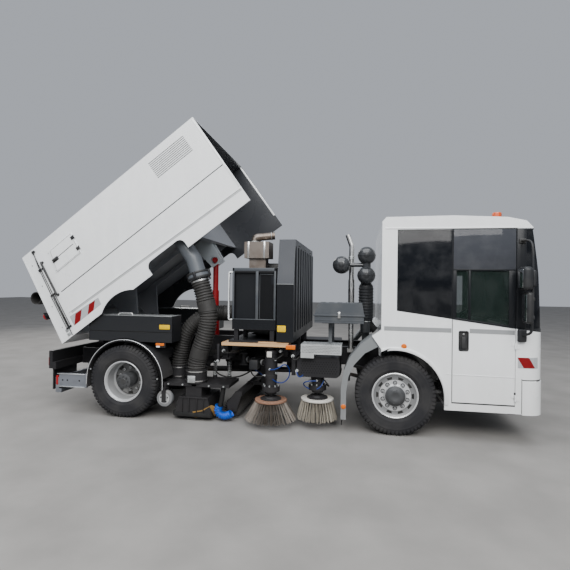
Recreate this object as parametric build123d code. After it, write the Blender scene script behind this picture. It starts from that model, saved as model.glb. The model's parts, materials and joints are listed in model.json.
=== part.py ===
from build123d import *
import os
from math import cos, radians, sin

# Street sweeper truck. Millimetres, X forward, Y to the left, Z up.
# Places are written from the ground under the front axle. The whole truck is shifted at the end,
# so that its origin is the middle of its base.

# Running gear
WHEELBASE = 3900
TYRE_RADIUS = 528
RIM_RADIUS = 290
FRONT_WHEEL_Y = 1030
REAR_OUTER_Y = 1060
TWIN_SPACING = 345
HUB_BORE = 40
RUNNING_GAP = 0.06
KINGPIN_Y = 895
KINGPIN_RADIUS = 18
STEERING_ARM = 200
TIE_ROD_Y = KINGPIN_Y
LEAF = 22

# Frame
RAIL_OUTER_Y = 425
RAIL_FLANGE = 80
RAIL_WALL = 8
RAIL_TOP = 1050
RAIL_HEIGHT = 270
SUBFRAME_HEIGHT = 110

# Deck
LOCKER_BOTTOM = 1123
PLANK_BOTTOM = 1118

# Cab
CAB_HALF_WIDTH = 1240
CAB_WALL = 45
CAB_REAR = -190
CAB_FRONT = 1785
CAB_SKIRT = 400
CAB_ROOF = 2892
ARCH_RADIUS = 608
HOUSING_RADIUS = 640
GLASS = 6
DOOR_REAR = 690
DOOR_FRONT = 1448
DOOR_BOTTOM = 494
DOOR_TOP = 2720
DOOR_GAP = 6
DOOR_HINGE_X = 1445
DOOR_HINGE_Y = CAB_HALF_WIDTH + 14
DOOR_HINGES_Z = (600, 1250)
HINGE_RADIUS = 12
HINGE_PIN = 6
WINDOW_TOP = 2675
SEAT_Z = 1050

# Hopper, in its own frame: U forward from the rear bottom corner of the skirt, V up from the skirt's edge
HOPPER_HALF_WIDTH = 1250
HOPPER_LENGTH = 3557
HOPPER_HEIGHT = 1454
HOPPER_SKIN = 30
HOPPER_FLOOR_V = 370
HOPPER_BULKHEAD_U = 2520
HOPPER_TIP = 36
HOPPER_PIVOT_U = 719
HOPPER_PIVOT_V = -101
PIVOT_X = -4220
PIVOT_Z = 1400
PIVOT_PIN = 30
PIVOT_Y = 345
TAILGATE_GAP = 6
SEAM_BOTTOM = 227
SEAM_TOP = 392
SIDE_FRONT_TOP = HOPPER_LENGTH + 11
TAILGATE_TOP_U = 186
TAILGATE_HINGE = (SEAM_TOP + 3, HOPPER_HEIGHT + 18)
TAILGATE_HINGES_Y = (-850, 850)
INLET_RING = (2250, -410)
INLET_AXIS = (0.316, 0.949)
INLET_U = 2345

# Hatch and vent on the hopper's sides, and the hand hose on the tailgate
HATCH = [(631, HOPPER_HEIGHT - 193), (1077, HOPPER_HEIGHT - 182), (1045, HOPPER_HEIGHT - 521), (549, HOPPER_HEIGHT - 527)]
HATCH_DEPTH = 12
VENT_U = (HOPPER_LENGTH - 907, HOPPER_LENGTH - 257)
VENT_TOP = HOPPER_HEIGHT - 104
VENT_ROWS = 10
VENT_PITCH = 28
WANDER_RADIUS = 95
WANDER_OFF = 150
WANDER_RUNS = (850, 450)
WANDER_ENDS = (-1150, 1000)
WANDER_BOSS_Y = -560

# Lift cylinder
LIFT_BASE_X = -2900
LIFT_BASE_Z = 720
LIFT_EYE_U = 2369
LIFT_EYE_V = -76
LIFT_RADII = (70, 58, 46)
LIFT_TUBE = 700
LIFT_TRUNNION = 28

# Sweeping gear on the right side
HOSE_RADIUS = 135
BLOWER_HOSE_RADIUS = 122


def box(x, y, z):
    """A block between three pairs of low and high limits."""
    size = (x[1] - x[0], y[1] - y[0], z[1] - z[0])
    return Pos((x[0] + x[1]) / 2, (y[0] + y[1]) / 2, (z[0] + z[1]) / 2) * Box(*size)


def plate_y(points, low, high):
    """A plate whose outline is drawn in X and Z."""
    outline = Polyline(*[(x, high, z) for x, z in points], close=True)
    return extrude(make_face(outline), amount=high - low, dir=(0, -1, 0))


def plate_x(points, low, high):
    """A plate whose outline is drawn in Y and Z."""
    outline = Polyline(*[(low, y, z) for y, z in points], close=True)
    return extrude(make_face(outline), amount=high - low, dir=(1, 0, 0))


def plate_z(points, low, high):
    """A plate whose outline is drawn in X and Y."""
    outline = Polyline(*[(x, y, low) for x, y in points], close=True)
    return extrude(make_face(outline), amount=high - low, dir=(0, 0, 1))


def rod(start, end, radius, bore=0):
    """A round bar or tube between two points."""
    start, end = Vector(*start), Vector(*end)
    plane = Plane(origin=start, z_dir=end - start)
    length = (end - start).length
    body = Cylinder(radius, length, align=(Align.CENTER, Align.CENTER, Align.MIN))
    if bore:
        body -= Cylinder(bore, length, align=(Align.CENTER, Align.CENTER, Align.MIN))
    return plane * body


def pipe(points, radius, bend, bore=0):
    """A round bar or tube along straight runs joined by arcs."""
    path = FilletPolyline(*points, radius=bend)
    plane = Plane(origin=path @ 0, z_dir=path % 0)
    section = Circle(radius)
    if bore:
        section -= Circle(bore)
    return sweep(plane * section, path=path)


def turned(points, axis_x, axis_z, centre_y, side):
    """A wheel part: its half section is given as (outward offset, radius) pairs."""
    outline = [(axis_x, centre_y + side * out, axis_z + radius) for out, radius in points]
    face = make_face(Polyline(*outline, close=True))
    return revolve(face, axis=Axis((axis_x, 0, axis_z), (0, 1, 0)))


def mirrored(part):
    """The part and its copy on the other side of the truck."""
    return [part, mirror(part, about=Plane.XZ)]


def fused(parts):
    whole = parts[0]
    for part in parts[1:]:
        whole = whole + part
    return whole


def tipped(part):
    """Moves a piece from the hopper's own frame to its tipped place on the truck."""
    corner = hopper_point(0, 0)
    return Location((corner[0], 0, corner[1]), (0, -HOPPER_TIP, 0)) * part


def hopper_point(u, v, tip=HOPPER_TIP):
    """X and Z on the truck of a point of the hopper, at an angle of tip."""
    du, dv = u - HOPPER_PIVOT_U, v - HOPPER_PIVOT_V
    c, s = cos(radians(tip)), sin(radians(tip))
    return PIVOT_X + du * c - dv * s, PIVOT_Z + du * s + dv * c


NODES = {}


def node(name, *parts):
    solids = []
    for part in parts:
        solids.extend(part.solids())
    NODES[name] = Compound(solids)


REAR_GUARD_X = 35 - WHEELBASE
REAR_GUARD_Z = 545
REAR_GUARD_RADIUS = 610
GUARD_TOP = REAR_GUARD_Z + REAR_GUARD_RADIUS

# Frame rails and cross members
RAIL_REAR = -WHEELBASE - 1140
RAIL_FRONT = 1470
RAIL_BOTTOM = RAIL_TOP - RAIL_HEIGHT
RAIL_OUTLINE = [
    (RAIL_REAR, 650), (RAIL_REAR, 850), (RAIL_REAR + 240, 850), (RAIL_REAR + 480, RAIL_TOP), (150, RAIL_TOP),
    (560, CAB_SKIRT), (RAIL_FRONT, CAB_SKIRT), (RAIL_FRONT, 290), (470, 290), (60, RAIL_BOTTOM),
    (RAIL_REAR + 420, RAIL_BOTTOM), (RAIL_REAR + 260, 650),
]
CROSS_MEMBERS_X = (RAIL_REAR + 520, -3300, -1500, -350)
TOW_X = 1515
TOW_PIN = 20


def chassis_frame():
    """Two channel rails and the members that join them, each a solid of its own."""
    outline = make_face(Polyline(*[(x, RAIL_OUTER_Y, z) for x, z in RAIL_OUTLINE], close=True))
    rail = extrude(outline, amount=RAIL_FLANGE, dir=(0, -1, 0))
    hollow = offset(outline, amount=-RAIL_WALL, kind=Kind.INTERSECTION)
    hollow = Pos(0, -RAIL_WALL, 0) * extrude(hollow, amount=RAIL_FLANGE, dir=(0, -1, 0))
    parts = mirrored(rail - hollow)
    inner = RAIL_OUTER_Y - RAIL_WALL
    for x in CROSS_MEMBERS_X:
        parts.append(box((x - 50, x + 50), (-inner, inner), (RAIL_BOTTOM + 40, RAIL_TOP - 40)))
    parts.append(box((RAIL_REAR - 60, RAIL_REAR), (-1150, 1150), (RAIL_OUTLINE[0][1], 760)))
    front = box((RAIL_FRONT, RAIL_FRONT + 90), (-900, 900), (CAB_SKIRT - 100, CAB_SKIRT))
    parts.append(front - rod((TOW_X, 0, 290), (TOW_X, 0, CAB_SKIRT + 10), TOW_PIN + RUNNING_GAP))
    hanger_x = (REAR_GUARD_X - 10, REAR_GUARD_X + 10)
    post_y = (RAIL_OUTER_Y + 0.3, RAIL_OUTER_Y + 25)
    post = box(hanger_x, post_y, (RAIL_TOP - 50, GUARD_TOP + 20))
    post += box(hanger_x, (RAIL_OUTER_Y, post_y[1]), (RAIL_TOP - 50, RAIL_TOP - 10))
    parts.extend(mirrored(post))
    parts.extend(mirrored(box(hanger_x, (post_y[1], 850), (GUARD_TOP + 0.3, GUARD_TOP + 20))))
    return parts


def body_subframe():
    """Long members on the rails with the hopper's pivot ears, outriggers and the lift cylinder's stands."""
    top = RAIL_TOP + SUBFRAME_HEIGHT
    inner = RAIL_OUTER_Y - RAIL_FLANGE
    parts = mirrored(box((-4540, -1380), (inner, RAIL_OUTER_Y), (RAIL_TOP, top)))
    ear_y = (RAIL_OUTER_Y - 30, RAIL_OUTER_Y)
    ear = plate_y(
        [(PIVOT_X - 220, top), (PIVOT_X - 70, PIVOT_Z + 60), (PIVOT_X + 70, PIVOT_Z + 60), (PIVOT_X + 220, top)],
        *ear_y,
    )
    ear += rod((PIVOT_X, ear_y[0] - 80, PIVOT_Z), (PIVOT_X, ear_y[0], PIVOT_Z), PIVOT_PIN)
    parts.extend(mirrored(ear))
    for x in (-4500, -3300, -2300, -1700):
        parts.append(box((x - 40, x + 40), (-inner, inner), (RAIL_TOP, top)))
    for x, arm_top in ((-4300, LOCKER_BOTTOM), (-3400, LOCKER_BOTTOM), (-2350, PLANK_BOTTOM), (-1700, PLANK_BOTTOM)):
        parts.extend(mirrored(box((x - 35, x + 35), (RAIL_OUTER_Y, 1130), (arm_top - 40, arm_top))))
    foot = box((LIFT_BASE_X - 60, LIFT_BASE_X + 60), (90, 110), (LIFT_BASE_Z - 60, LIFT_BASE_Z + 60))
    foot -= rod((LIFT_BASE_X, 80, LIFT_BASE_Z), (LIFT_BASE_X, 125, LIFT_BASE_Z), LIFT_TRUNNION + RUNNING_GAP)
    arm_x = (LIFT_BASE_X - 40, LIFT_BASE_X + 40)
    arm = box(arm_x, (110, inner), (LIFT_BASE_Z - 40, LIFT_BASE_Z + 40))
    arm -= rod((LIFT_BASE_X, 100, LIFT_BASE_Z), (LIFT_BASE_X, 125, LIFT_BASE_Z), LIFT_TRUNNION + RUNNING_GAP)
    web = box(arm_x, (inner - 40, inner), (LIFT_BASE_Z + 40, RAIL_TOP + 20))
    for piece in (foot, arm, web):
        parts.extend(mirrored(piece))
    return parts


def front_axle():
    z = TYRE_RADIUS
    beam = plate_x(
        [(-860, z + 40), (-860, z - 40), (-640, z - 60), (-460, z - 150), (460, z - 150), (640, z - 60),
         (860, z - 40), (860, z + 40), (620, z + 30), (430, z - 60), (-430, z - 60), (-620, z + 30)],
        -45, 45,
    )
    parts = [beam]
    for side in (-1, 1):
        y = side * KINGPIN_Y
        parts.append(rod((0, y, z - 60), (0, y, z + 60), 45))
        parts.append(rod((0, y, z - 110), (0, y, z + 110), KINGPIN_RADIUS))
    return fused(parts)


def knuckle(side):
    """Yoke round the axle's eye, spindle and steering arm of one front wheel."""
    z = TYRE_RADIUS
    y = side * KINGPIN_Y
    out = [side * value for value in (945.3, 975)]
    parts = [box((-50, 50), sorted(out), (z - 112, z + 112))]
    for low, high in ((z - 112, z - 61), (z + 61, z + 112)):
        lug = rod((0, y, low), (0, y, high), 44)
        lug += box((-44, 44), sorted((y, out[0])), (low, high))
        lug -= rod((0, y, low - 1), (0, y, high + 1), KINGPIN_RADIUS + RUNNING_GAP)
        parts.append(lug)
    parts.append(rod((0, out[1], z), (0, side * 1150, z), HUB_BORE))
    arm_z = z - 100
    parts.append(plate_z(
        [(-20, y - side * 20), (-STEERING_ARM, side * TIE_ROD_Y - side * 26),
         (-STEERING_ARM - 30, side * TIE_ROD_Y), (-STEERING_ARM, side * TIE_ROD_Y + side * 30),
         (-40, y + side * 40)],
        arm_z - 12, arm_z + 12,
    ))
    part = fused(parts)
    part -= rod((0, y, z - 113), (0, y, z - 60), KINGPIN_RADIUS + RUNNING_GAP)
    part -= rod((-STEERING_ARM, side * TIE_ROD_Y, arm_z - 20), (-STEERING_ARM, side * TIE_ROD_Y, arm_z + 20), 14.1)
    return part


def tie_rod():
    z = TYRE_RADIUS - 100
    low = z - 12.4
    bar = rod((-STEERING_ARM, -TIE_ROD_Y, low - 20), (-STEERING_ARM, TIE_ROD_Y, low - 20), 18)
    parts = [bar]
    for side in (-1, 1):
        y = side * TIE_ROD_Y
        parts.append(rod((-STEERING_ARM, y, low - 40), (-STEERING_ARM, y, low), 27))
        parts.append(rod((-STEERING_ARM, y, low - 1), (-STEERING_ARM, y, low + 22), 14))
    return fused(parts)


def rear_axle():
    z = TYRE_RADIUS
    x = -WHEELBASE
    banjo = rod((x - 110, 0, z), (x + 110, 0, z), 210)
    tube = rod((x, -540, z), (x, 540, z), 70)
    pads = [pad - tube for pad in mirrored(box((x - 80, x + 80), (440, 530), (z + 40, z + 92)))]
    nose = rod((x + 110, 0, z), (x + 300, 0, z), 95)
    joint = rod((x + 300, 0, z), (x + 380, 0, z), 75)
    shaft = rod((x + 380, 0, z), (-1350, 0, z + 60), 45) - joint
    spindles = mirrored(rod((x, 540, z), (x, 1130, z), HUB_BORE))
    return [banjo, tube - banjo, nose, joint, shaft] + spindles + pads


def leaf_springs():
    """Leaf packs: rear ones beside the rails, front ones under them."""
    z = TYRE_RADIUS + 92
    x = -WHEELBASE
    leaves = []
    for leaf, reach in enumerate((720, 560, 400, 240)):
        tip = z + 150 * (reach / 720) ** 2 + LEAF * (3 - leaf) + 12
        middle = z + LEAF * (3 - leaf)
        outline = [
            (x - reach, tip), (x, middle), (x + reach, tip), (x + reach, tip + LEAF), (x, middle + LEAF),
            (x - reach, tip + LEAF),
        ]
        leaves.append(plate_y(outline, 445, 525))
    for end in (-720, 720):
        leaves.append(box((x + end - 30, x + end + 30), (RAIL_OUTER_Y, 525), (z + 215, z + 300)))
    rear = mirrored(fused(leaves))
    front_z = TYRE_RADIUS - 60
    outline = [
        (-640, front_z + 150), (0, front_z), (260, front_z + 12), (260, front_z + 60), (0, front_z + 60),
        (-640, front_z + 190),
    ]
    front = plate_y(outline, 350, 424)
    front += box((-660, -600), (350, 424), (front_z + 150, RAIL_TOP - RAIL_HEIGHT))
    return rear, mirrored(front)


# Wheels
TYRE_SECTION = [
    (-117.5, RIM_RADIUS), (-117.5, 303), (-150, 345), (-156, 410), (-146, 480), (-128, 516), (-95, 528),
    (95, 528), (128, 516), (146, 480), (156, 410), (150, 345), (117.5, 303), (117.5, RIM_RADIUS),
]
FRONT_RIM_SECTION = [
    (-130, 302), (-118, 302), (-118, 289.5), (-100, 280), (118, 280), (118, 302), (130, 302), (130, 288), (122, 268),
    (112, 250), (112, 150), (135, 140), (165, 125), (168, 0), (122, 0), (122, 40.06), (-40, 40.06), (-40, 120),
    (-30, 200), (-20, 205), (60, 205), (96, 230), (96, 262), (-110, 270), (-130, 285),
]
REAR_RIM_SECTION = [
    (-130, 302), (-118, 302), (-118, 289.5), (-100, 280), (118, 280), (118, 302), (130, 302), (130, 286), (100, 268),
    (-60, 262), (-95, 235), (-100, 150), (-100, 112), (112, 108), (120, 60), (120, 0), (72, 0), (72, 40.06),
    (-172, 40.06), (-172, 112), (-124, 150), (-124, 240), (-110, 270), (-130, 285),
]
INNER_RIM_SECTION = [
    (-130, 302), (-118, 302), (-118, 289.5), (-100, 280), (118, 280), (118, 302), (130, 302), (130, 285),
    (124, 262), (172.5, 240), (172.5, 112.3), (150, 112.3), (150, 205), (90, 240), (-100, 262), (-130, 285),
]
HAND_HOLES = 8
NUTS = 10


def tyre(axis_x, centre_y):
    return turned(TYRE_SECTION, axis_x, TYRE_RADIUS, centre_y, 1)


def around(part, count, axis_x):
    axis = Axis((axis_x, 0, TYRE_RADIUS), (0, 1, 0))
    return [part.rotate(axis, turn * 360 / count) for turn in range(count)]


def front_rim(side):
    y = side * FRONT_WHEEL_Y
    rim = turned(FRONT_RIM_SECTION, 0, TYRE_RADIUS, y, side)
    hole = rod((0, y + side * 80, TYRE_RADIUS + 236), (0, y + side * 140, TYRE_RADIUS + 236), 16)
    nut = rod((0, y + side * 110, TYRE_RADIUS + 168), (0, y + side * 134, TYRE_RADIUS + 168), 16)
    rim -= fused(around(hole, HAND_HOLES, 0))
    return rim + fused(around(nut, NUTS, 0))


def rear_rim(side):
    x = -WHEELBASE
    outer = turned(REAR_RIM_SECTION, x, TYRE_RADIUS, side * REAR_OUTER_Y, side)
    inner = turned(INNER_RIM_SECTION, x, TYRE_RADIUS, side * (REAR_OUTER_Y - TWIN_SPACING), side)
    y = side * REAR_OUTER_Y
    hole = rod((x, y - side * 135, TYRE_RADIUS + 210), (x, y - side * 85, TYRE_RADIUS + 210), 18)
    nut = rod((x, y - side * 103, TYRE_RADIUS + 168), (x, y - side * 72, TYRE_RADIUS + 168), 16)
    outer -= fused(around(hole, HAND_HOLES, x))
    return outer + inner + fused(around(nut, NUTS, x))


# Cab
CAB_PROFILE = [
    (CAB_REAR, CAB_SKIRT), (CAB_REAR, 2825), (-140, 2884), (700, CAB_ROOF), (1340, 2862), (1560, 2815),
    (1640, 2730), (1730, 2150), (1775, 1500), (CAB_FRONT, 1200), (CAB_FRONT, 815), (1700, 815), (1700, CAB_SKIRT),
]
SIDE_WINDOW = [(40, 1675), (40, WINDOW_TOP), (636, WINDOW_TOP), (636, 1595)]
DOOR_WINDOW = [(742, 1585), (742, WINDOW_TOP), (1398, WINDOW_TOP), (1398, 1498)]
GRILLE_SLOTS = 6
GRILLE_BOTTOM = 880
GRILLE_PITCH = 42
SCREEN_REAR = 1560
SCREEN_BOTTOM = 1470
SCREEN_TOP = 2700


def cab_solid(inset):
    """The cab's outer form, drawn in by a wall of this thickness."""
    profile = make_face(Polyline(*[(x, CAB_HALF_WIDTH, z) for x, z in CAB_PROFILE], close=True))
    plan = make_face(Polyline(
        (CAB_REAR, -CAB_HALF_WIDTH, 0), (CAB_FRONT + 15, -CAB_HALF_WIDTH, 0), (CAB_FRONT + 15, CAB_HALF_WIDTH, 0),
        (CAB_REAR, CAB_HALF_WIDTH, 0), close=True,
    ))
    plan = fillet(plan.vertices().group_by(Axis.X)[-1], 210)
    if inset:
        profile = offset(profile, amount=-inset, kind=Kind.INTERSECTION)
        plan = offset(plan, amount=-inset, kind=Kind.INTERSECTION)
    return extrude(profile, amount=2 * CAB_HALF_WIDTH, dir=(0, -1, 0)) & extrude(plan, amount=3000, dir=(0, 0, 1))


def wheel_space(radius, inner_y):
    """The room for the front wheels and what lies between them, as cut from the cab."""
    parts = []
    for side in (-1, 1):
        ends = sorted((side * inner_y, side * (CAB_HALF_WIDTH + 160)))
        parts.append(rod((0, ends[0], TYRE_RADIUS), (0, ends[1], TYRE_RADIUS), radius))
        parts.append(box((-radius, radius), ends, (0, TYRE_RADIUS)))
    return fused(parts)


def hinge_half(side, low, high, leaf_x):
    """One half of a door hinge: a leaf on the outside face and its knuckle."""
    y = side * DOOR_HINGE_Y
    leaf = box(leaf_x, sorted((side * CAB_HALF_WIDTH, side * (CAB_HALF_WIDTH + 6))), (low, high))
    return leaf + rod((DOOR_HINGE_X, y, low), (DOOR_HINGE_X, y, high), HINGE_RADIUS)


def screen_opening():
    """The room of the windscreen and of its panes round the front corners."""
    reach = CAB_HALF_WIDTH + 60
    return box((SCREEN_REAR, CAB_FRONT + 115), (-reach, reach), (SCREEN_BOTTOM, SCREEN_TOP))


def cab_shell(outer):
    inner = cab_solid(CAB_WALL)
    inner -= wheel_space(HOUSING_RADIUS + 30, 470)
    inner -= box((-300, 660), (-500, 500), (0, 1190))
    shell = outer - inner
    shell -= wheel_space(ARCH_RADIUS, CAB_HALF_WIDTH - 90)
    reach = CAB_HALF_WIDTH - 40
    shell -= wheel_space(HOUSING_RADIUS, 500) & box((-700, 700), (-reach, reach), (0, 1400))
    shell -= box((-300, 630), (-470, 470), (0, 1160))
    shell -= box((-700, HOUSING_RADIUS), (50 - CAB_HALF_WIDTH, CAB_HALF_WIDTH - 50), (0, 640))
    for side in (-1, 1):
        wall = sorted((side * (CAB_HALF_WIDTH - CAB_WALL - 5), side * (CAB_HALF_WIDTH + 5)))
        shell -= plate_y(SIDE_WINDOW, *wall)
        shell -= box((DOOR_REAR, DOOR_FRONT), wall, (DOOR_BOTTOM, DOOR_TOP))
        for z in DOOR_HINGES_Z:
            shell += hinge_half(side, z - 40, z - 0.3, (DOOR_HINGE_X, 1495))
            y = side * DOOR_HINGE_Y
            shell += rod((DOOR_HINGE_X, y, z - 20), (DOOR_HINGE_X, y, z + 36), HINGE_PIN)
    shell -= screen_opening()
    for step in range(GRILLE_SLOTS):
        z = GRILLE_BOTTOM + GRILLE_PITCH * step
        shell -= box((CAB_FRONT - 16, CAB_FRONT + 5), (-520, 520), (z, z + GRILLE_PITCH / 2))
    shell += plate_y([(CAB_REAR, 1400), (-310, 1318), (CAB_REAR, 1150)], -CAB_HALF_WIDTH, -CAB_HALF_WIDTH + 90)
    shell += plate_y([(CAB_REAR, 1400), (-310, 1318), (CAB_REAR, 1150)], CAB_HALF_WIDTH - 90, CAB_HALF_WIDTH)
    return shell


def cab_glass(outer):
    screen = cab_solid(8) - cab_solid(8 + GLASS)
    screen &= screen_opening()
    pane = plate_y(SIDE_WINDOW, CAB_HALF_WIDTH - 8 - GLASS, CAB_HALF_WIDTH - 8)
    return [screen] + mirrored(pane)


def door(side):
    low, high = DOOR_BOTTOM + DOOR_GAP, DOOR_TOP - DOOR_GAP
    wall = sorted((side * (CAB_HALF_WIDTH - CAB_WALL), side * CAB_HALF_WIDTH))
    panel = box((DOOR_REAR + DOOR_GAP, DOOR_FRONT - DOOR_GAP), wall, (low, high))
    panel -= plate_y(DOOR_WINDOW, *wall)
    outside = sorted((side * (CAB_HALF_WIDTH - 14), side * (CAB_HALF_WIDTH + 1)))
    panel -= box((774, 892), outside, (1163, 1416))
    for z in DOOR_HINGES_Z:
        y = side * DOOR_HINGE_Y
        panel += hinge_half(side, z, z + 40, (1395, DOOR_HINGE_X))
        panel -= rod((DOOR_HINGE_X, y, z - 1), (DOOR_HINGE_X, y, z + 41), HINGE_PIN + RUNNING_GAP)
    return panel


def door_glass(side):
    wall = sorted((side * (CAB_HALF_WIDTH - 8 - GLASS), side * (CAB_HALF_WIDTH - 8)))
    return plate_y(DOOR_WINDOW, *wall)


def cab_interior():
    reach = CAB_HALF_WIDTH - 90
    dash = plate_y([(1380, 1000), (1330, 1290), (1480, 1360), (1690, 1340), (1690, 1000)], -reach, reach)
    foot = box((1560, 1650), (-900, 900), (CAB_SKIRT + CAB_WALL, 1000))
    pedestals = []
    for y in (-720, 720):
        pedestal = box((690, 900), (y - 180, y + 180), (CAB_SKIRT + CAB_WALL, SEAT_Z - 20))
        pedestals.append(pedestal + box((450, 960), (y - 210, y + 210), (SEAT_Z - 20, SEAT_Z)))
    bench = box((180, 560), (-380, 380), (1190, 1330))
    column = rod((1420, 720, 1249.3), (1201.5, 720, 1430.4), 35)
    return [fused([dash, foot])] + pedestals + [bench, column - dash]


def cab_seats():
    parts = []
    for y in (-720, 720):
        parts.append(box((520, 960), (y - 215, y + 215), (SEAT_Z + 0.3, SEAT_Z + 130)))
        low = SEAT_Z + 0.3
        back = [(455, low), (515, low), (430, low + 800), (310, low + 800)]
        parts.append(plate_y(back, y - 210, y + 210))
    return parts


def steering_wheel():
    tilt = Plane(origin=(1190, 720, 1440), z_dir=(-205, 0, 170))
    ring = tilt * Torus(210, 15)
    boss = tilt * Cylinder(50, 30)
    spokes = [tilt * (Rot(0, 0, turn) * Pos(125, 0, 0) * Box(190, 28, 14)) for turn in (0, 120, 240)]
    return fused([boss, ring] + spokes)


def front_bumper(cab):
    half = CAB_HALF_WIDTH + 5
    corners = [(1530, -half, 390), (1800, -half, 390), (1800, half, 390), (1530, half, 390)]
    plan = make_face(Polyline(*corners, close=True))
    plan = fillet(plan.vertices().group_by(Axis.X)[-1], 190)
    shape = extrude(plan, amount=418, dir=(0, 0, 1))
    for lamp_y in ((-1000, -700), (700, 1000)):
        shape -= box((1772, 1810), lamp_y, (540, 700))
    return shape - cab - box((1400, 1700), (35 - half, half - 35), (380, CAB_SKIRT + 2))


def mirrors_pair():
    """Mirror arm with two heads, its feet on the cab's side."""
    skin = CAB_HALF_WIDTH
    y = skin + 200
    route = [
        (1500, skin + 16, 2560), (1540, skin + 90, 2560), (1560, y, 2460), (1560, y, 1440), (1530, skin + 90, 1400),
        (1505, skin + 50, 1385),
    ]
    arm = pipe(route, 16, 30)
    upper = box((1425, 1545), (y - 110, y + 110), (1930, 2230)) - box((1420, 1440), (y - 95, y + 95), (1945, 2215))
    lower = box((1470, 1545), (y - 105, y + 105), (1540, 1915))
    pod = box((1458, 1561), (skin, skin + 60), (1300, 1463))
    head = box((1470, 1550), (skin, skin + 22), (2530, 2590))
    return fused([arm, upper, lower, pod, head])


FENDER_OUTER = [(-310.3, 1317.7), (-460, 1194), (-610, 1000), (-680, 820), (-711, 600), (-711, 185)]
FENDER_INNER = [(-640, 185), (-640, 560), (-612, 760), (-540, 920), (-400, 1080), (-214.3, 1183.4)]


def fenders():
    inside = [(-690, 185), (-690, 600), (-660, 815), (-592, 990), (-445, 1178), (-292.3, 1292.6)]
    outside = CAB_HALF_WIDTH - 25
    outer = plate_y(FENDER_OUTER + inside, 880, outside)
    skirt = plate_y(FENDER_OUTER + FENDER_INNER, outside - 25, outside)
    return mirrored(outer + skirt)


def rear_mudguards():
    x, z = REAR_GUARD_X, REAR_GUARD_Z
    ring = rod((x, 560, z), (x, 1225, z), REAR_GUARD_RADIUS, REAR_GUARD_RADIUS - 14)
    ring -= box((x - 835, x + 765), (500, 1300), (-200, 430))
    ring -= box((x + 465, x + 665), (500, 1300), (-200, 600))
    ring -= box((x + 515, x + 665), (500, 870), (-200, 1000))
    return mirrored(ring)


def side_lockers():
    rear, front = REAR_GUARD_X - 592, REAR_GUARD_X + 725
    body = box((rear, front), (860, 1195), (LOCKER_BOTTOM, 1500))
    body -= rod((REAR_GUARD_X, 800, REAR_GUARD_Z), (REAR_GUARD_X, 1300, REAR_GUARD_Z), REAR_GUARD_RADIUS + 12)
    body -= box((rear - 3, front + 10), (1187, 1200), (1262, 1274))
    x = REAR_GUARD_X - 50
    handle = pipe([(x - 115, 1110, 1500), (x - 95, 1110, 1534), (x + 95, 1110, 1534), (x + 115, 1110, 1500)], 9, 16)
    shelf = box((rear, front - 260), (RAIL_OUTER_Y, 860), (1190, 1240))
    shelf -= rod((REAR_GUARD_X, 300, REAR_GUARD_Z), (REAR_GUARD_X, 1300, REAR_GUARD_Z), REAR_GUARD_RADIUS + 12)
    return mirrored(fused([body, handle, shelf]))


# Sweeper body on the frame
COWL_REAR = -1600
COWL_FRONT = -1365
COWL_TOP = 2620
COWL_FOLD = 1990
COWL_HALF_WIDTH = 1205


def engine_cowl():
    points = [
        (-COWL_HALF_WIDTH, 1190), (-COWL_HALF_WIDTH, COWL_FOLD), (-COWL_HALF_WIDTH + 150, COWL_TOP),
        (COWL_HALF_WIDTH - 150, COWL_TOP), (COWL_HALF_WIDTH, COWL_FOLD), (COWL_HALF_WIDTH, 1190),
    ]
    shape = plate_x(points, COWL_REAR, COWL_FRONT)
    inner = [(y * 0.97, max(z - 40, 1180)) for y, z in points]
    shape -= plate_x(inner, COWL_REAR - 1, COWL_FRONT - 40)
    ribs = []
    for step in range(9):
        y = -1000 + step * 250
        ribs.append(box((COWL_FRONT, COWL_FRONT + 14), (y - 60, y + 60), (1320, 2520)))
    shape += fused(ribs)
    base = RAIL_TOP + SUBFRAME_HEIGHT
    rail = (RAIL_OUTER_Y - RAIL_FLANGE + 5, RAIL_OUTER_Y - 5)
    for foot in mirrored(box((COWL_FRONT - 75, COWL_FRONT - 15), rail, (base, 1230))):
        shape += foot
    for y in (-700, 0, 700):
        shape -= box((COWL_FRONT - 60, COWL_FRONT + 20), (y - 130, y + 130), (2545, 2560))
    return shape


CABINET_X = (-2253, -1625)
CABINET_Z = (1344, 2213)


def radiator_cabinet():
    shape = box(CABINET_X, (-1150, -560), CABINET_Z)
    for low, high in ((-2225, -1915), (-1875, -1650)):
        shape -= box((low, high), (-1160, -1090), (1490, 2150))
    legs = []
    for x in (-2200, -1680):
        legs.append(box((x - 30, x + 30), (-1130, -1070), (1190, 1344)))
        legs.append(box((x - 30, x + 30), (-640, -580), (1123, 1344)))
    floor = box((-2300, -1610), (-1150, RAIL_FLANGE - RAIL_OUTER_Y), (1160, 1190))
    rail = pipe([(-2253, -1120, 2150), (-2310, -1120, 2150), (-2310, -1120, 1480), (-2253, -1120, 1480)], 13, 30)
    return fused([shape, floor, rail] + legs)


def aux_engine():
    """The sweeper's own engine, kept as plain blocks at its place and size."""
    block = box((-2180, -1680), (-540, 420), (1240, 2060))
    head = box((-2120, -1720), (-420, 300), (2060, 2300))
    feet = box((-2100, -1760), (-344.7, 400), (1160, 1240))
    return fused([block, head, feet])


def engine_silencer():
    tank = box((-2160, -1790), (-880, -560), (2370, 2610))
    elbow = pipe([(-1960, -560, 2480), (-1960, -420, 2480), (-1960, -420, 2300)], 60, 70)
    tail = pipe([(-2050, -700, 2610), (-2050, -700, 2690), (-1750, -640, 2720)], 55, 50)
    foot = box((-2100, -1850), (-820, -620), (2213, 2370))
    return fused([tank, elbow, tail, foot])


FAN_X = -2010
FAN_Z = 1640


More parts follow.
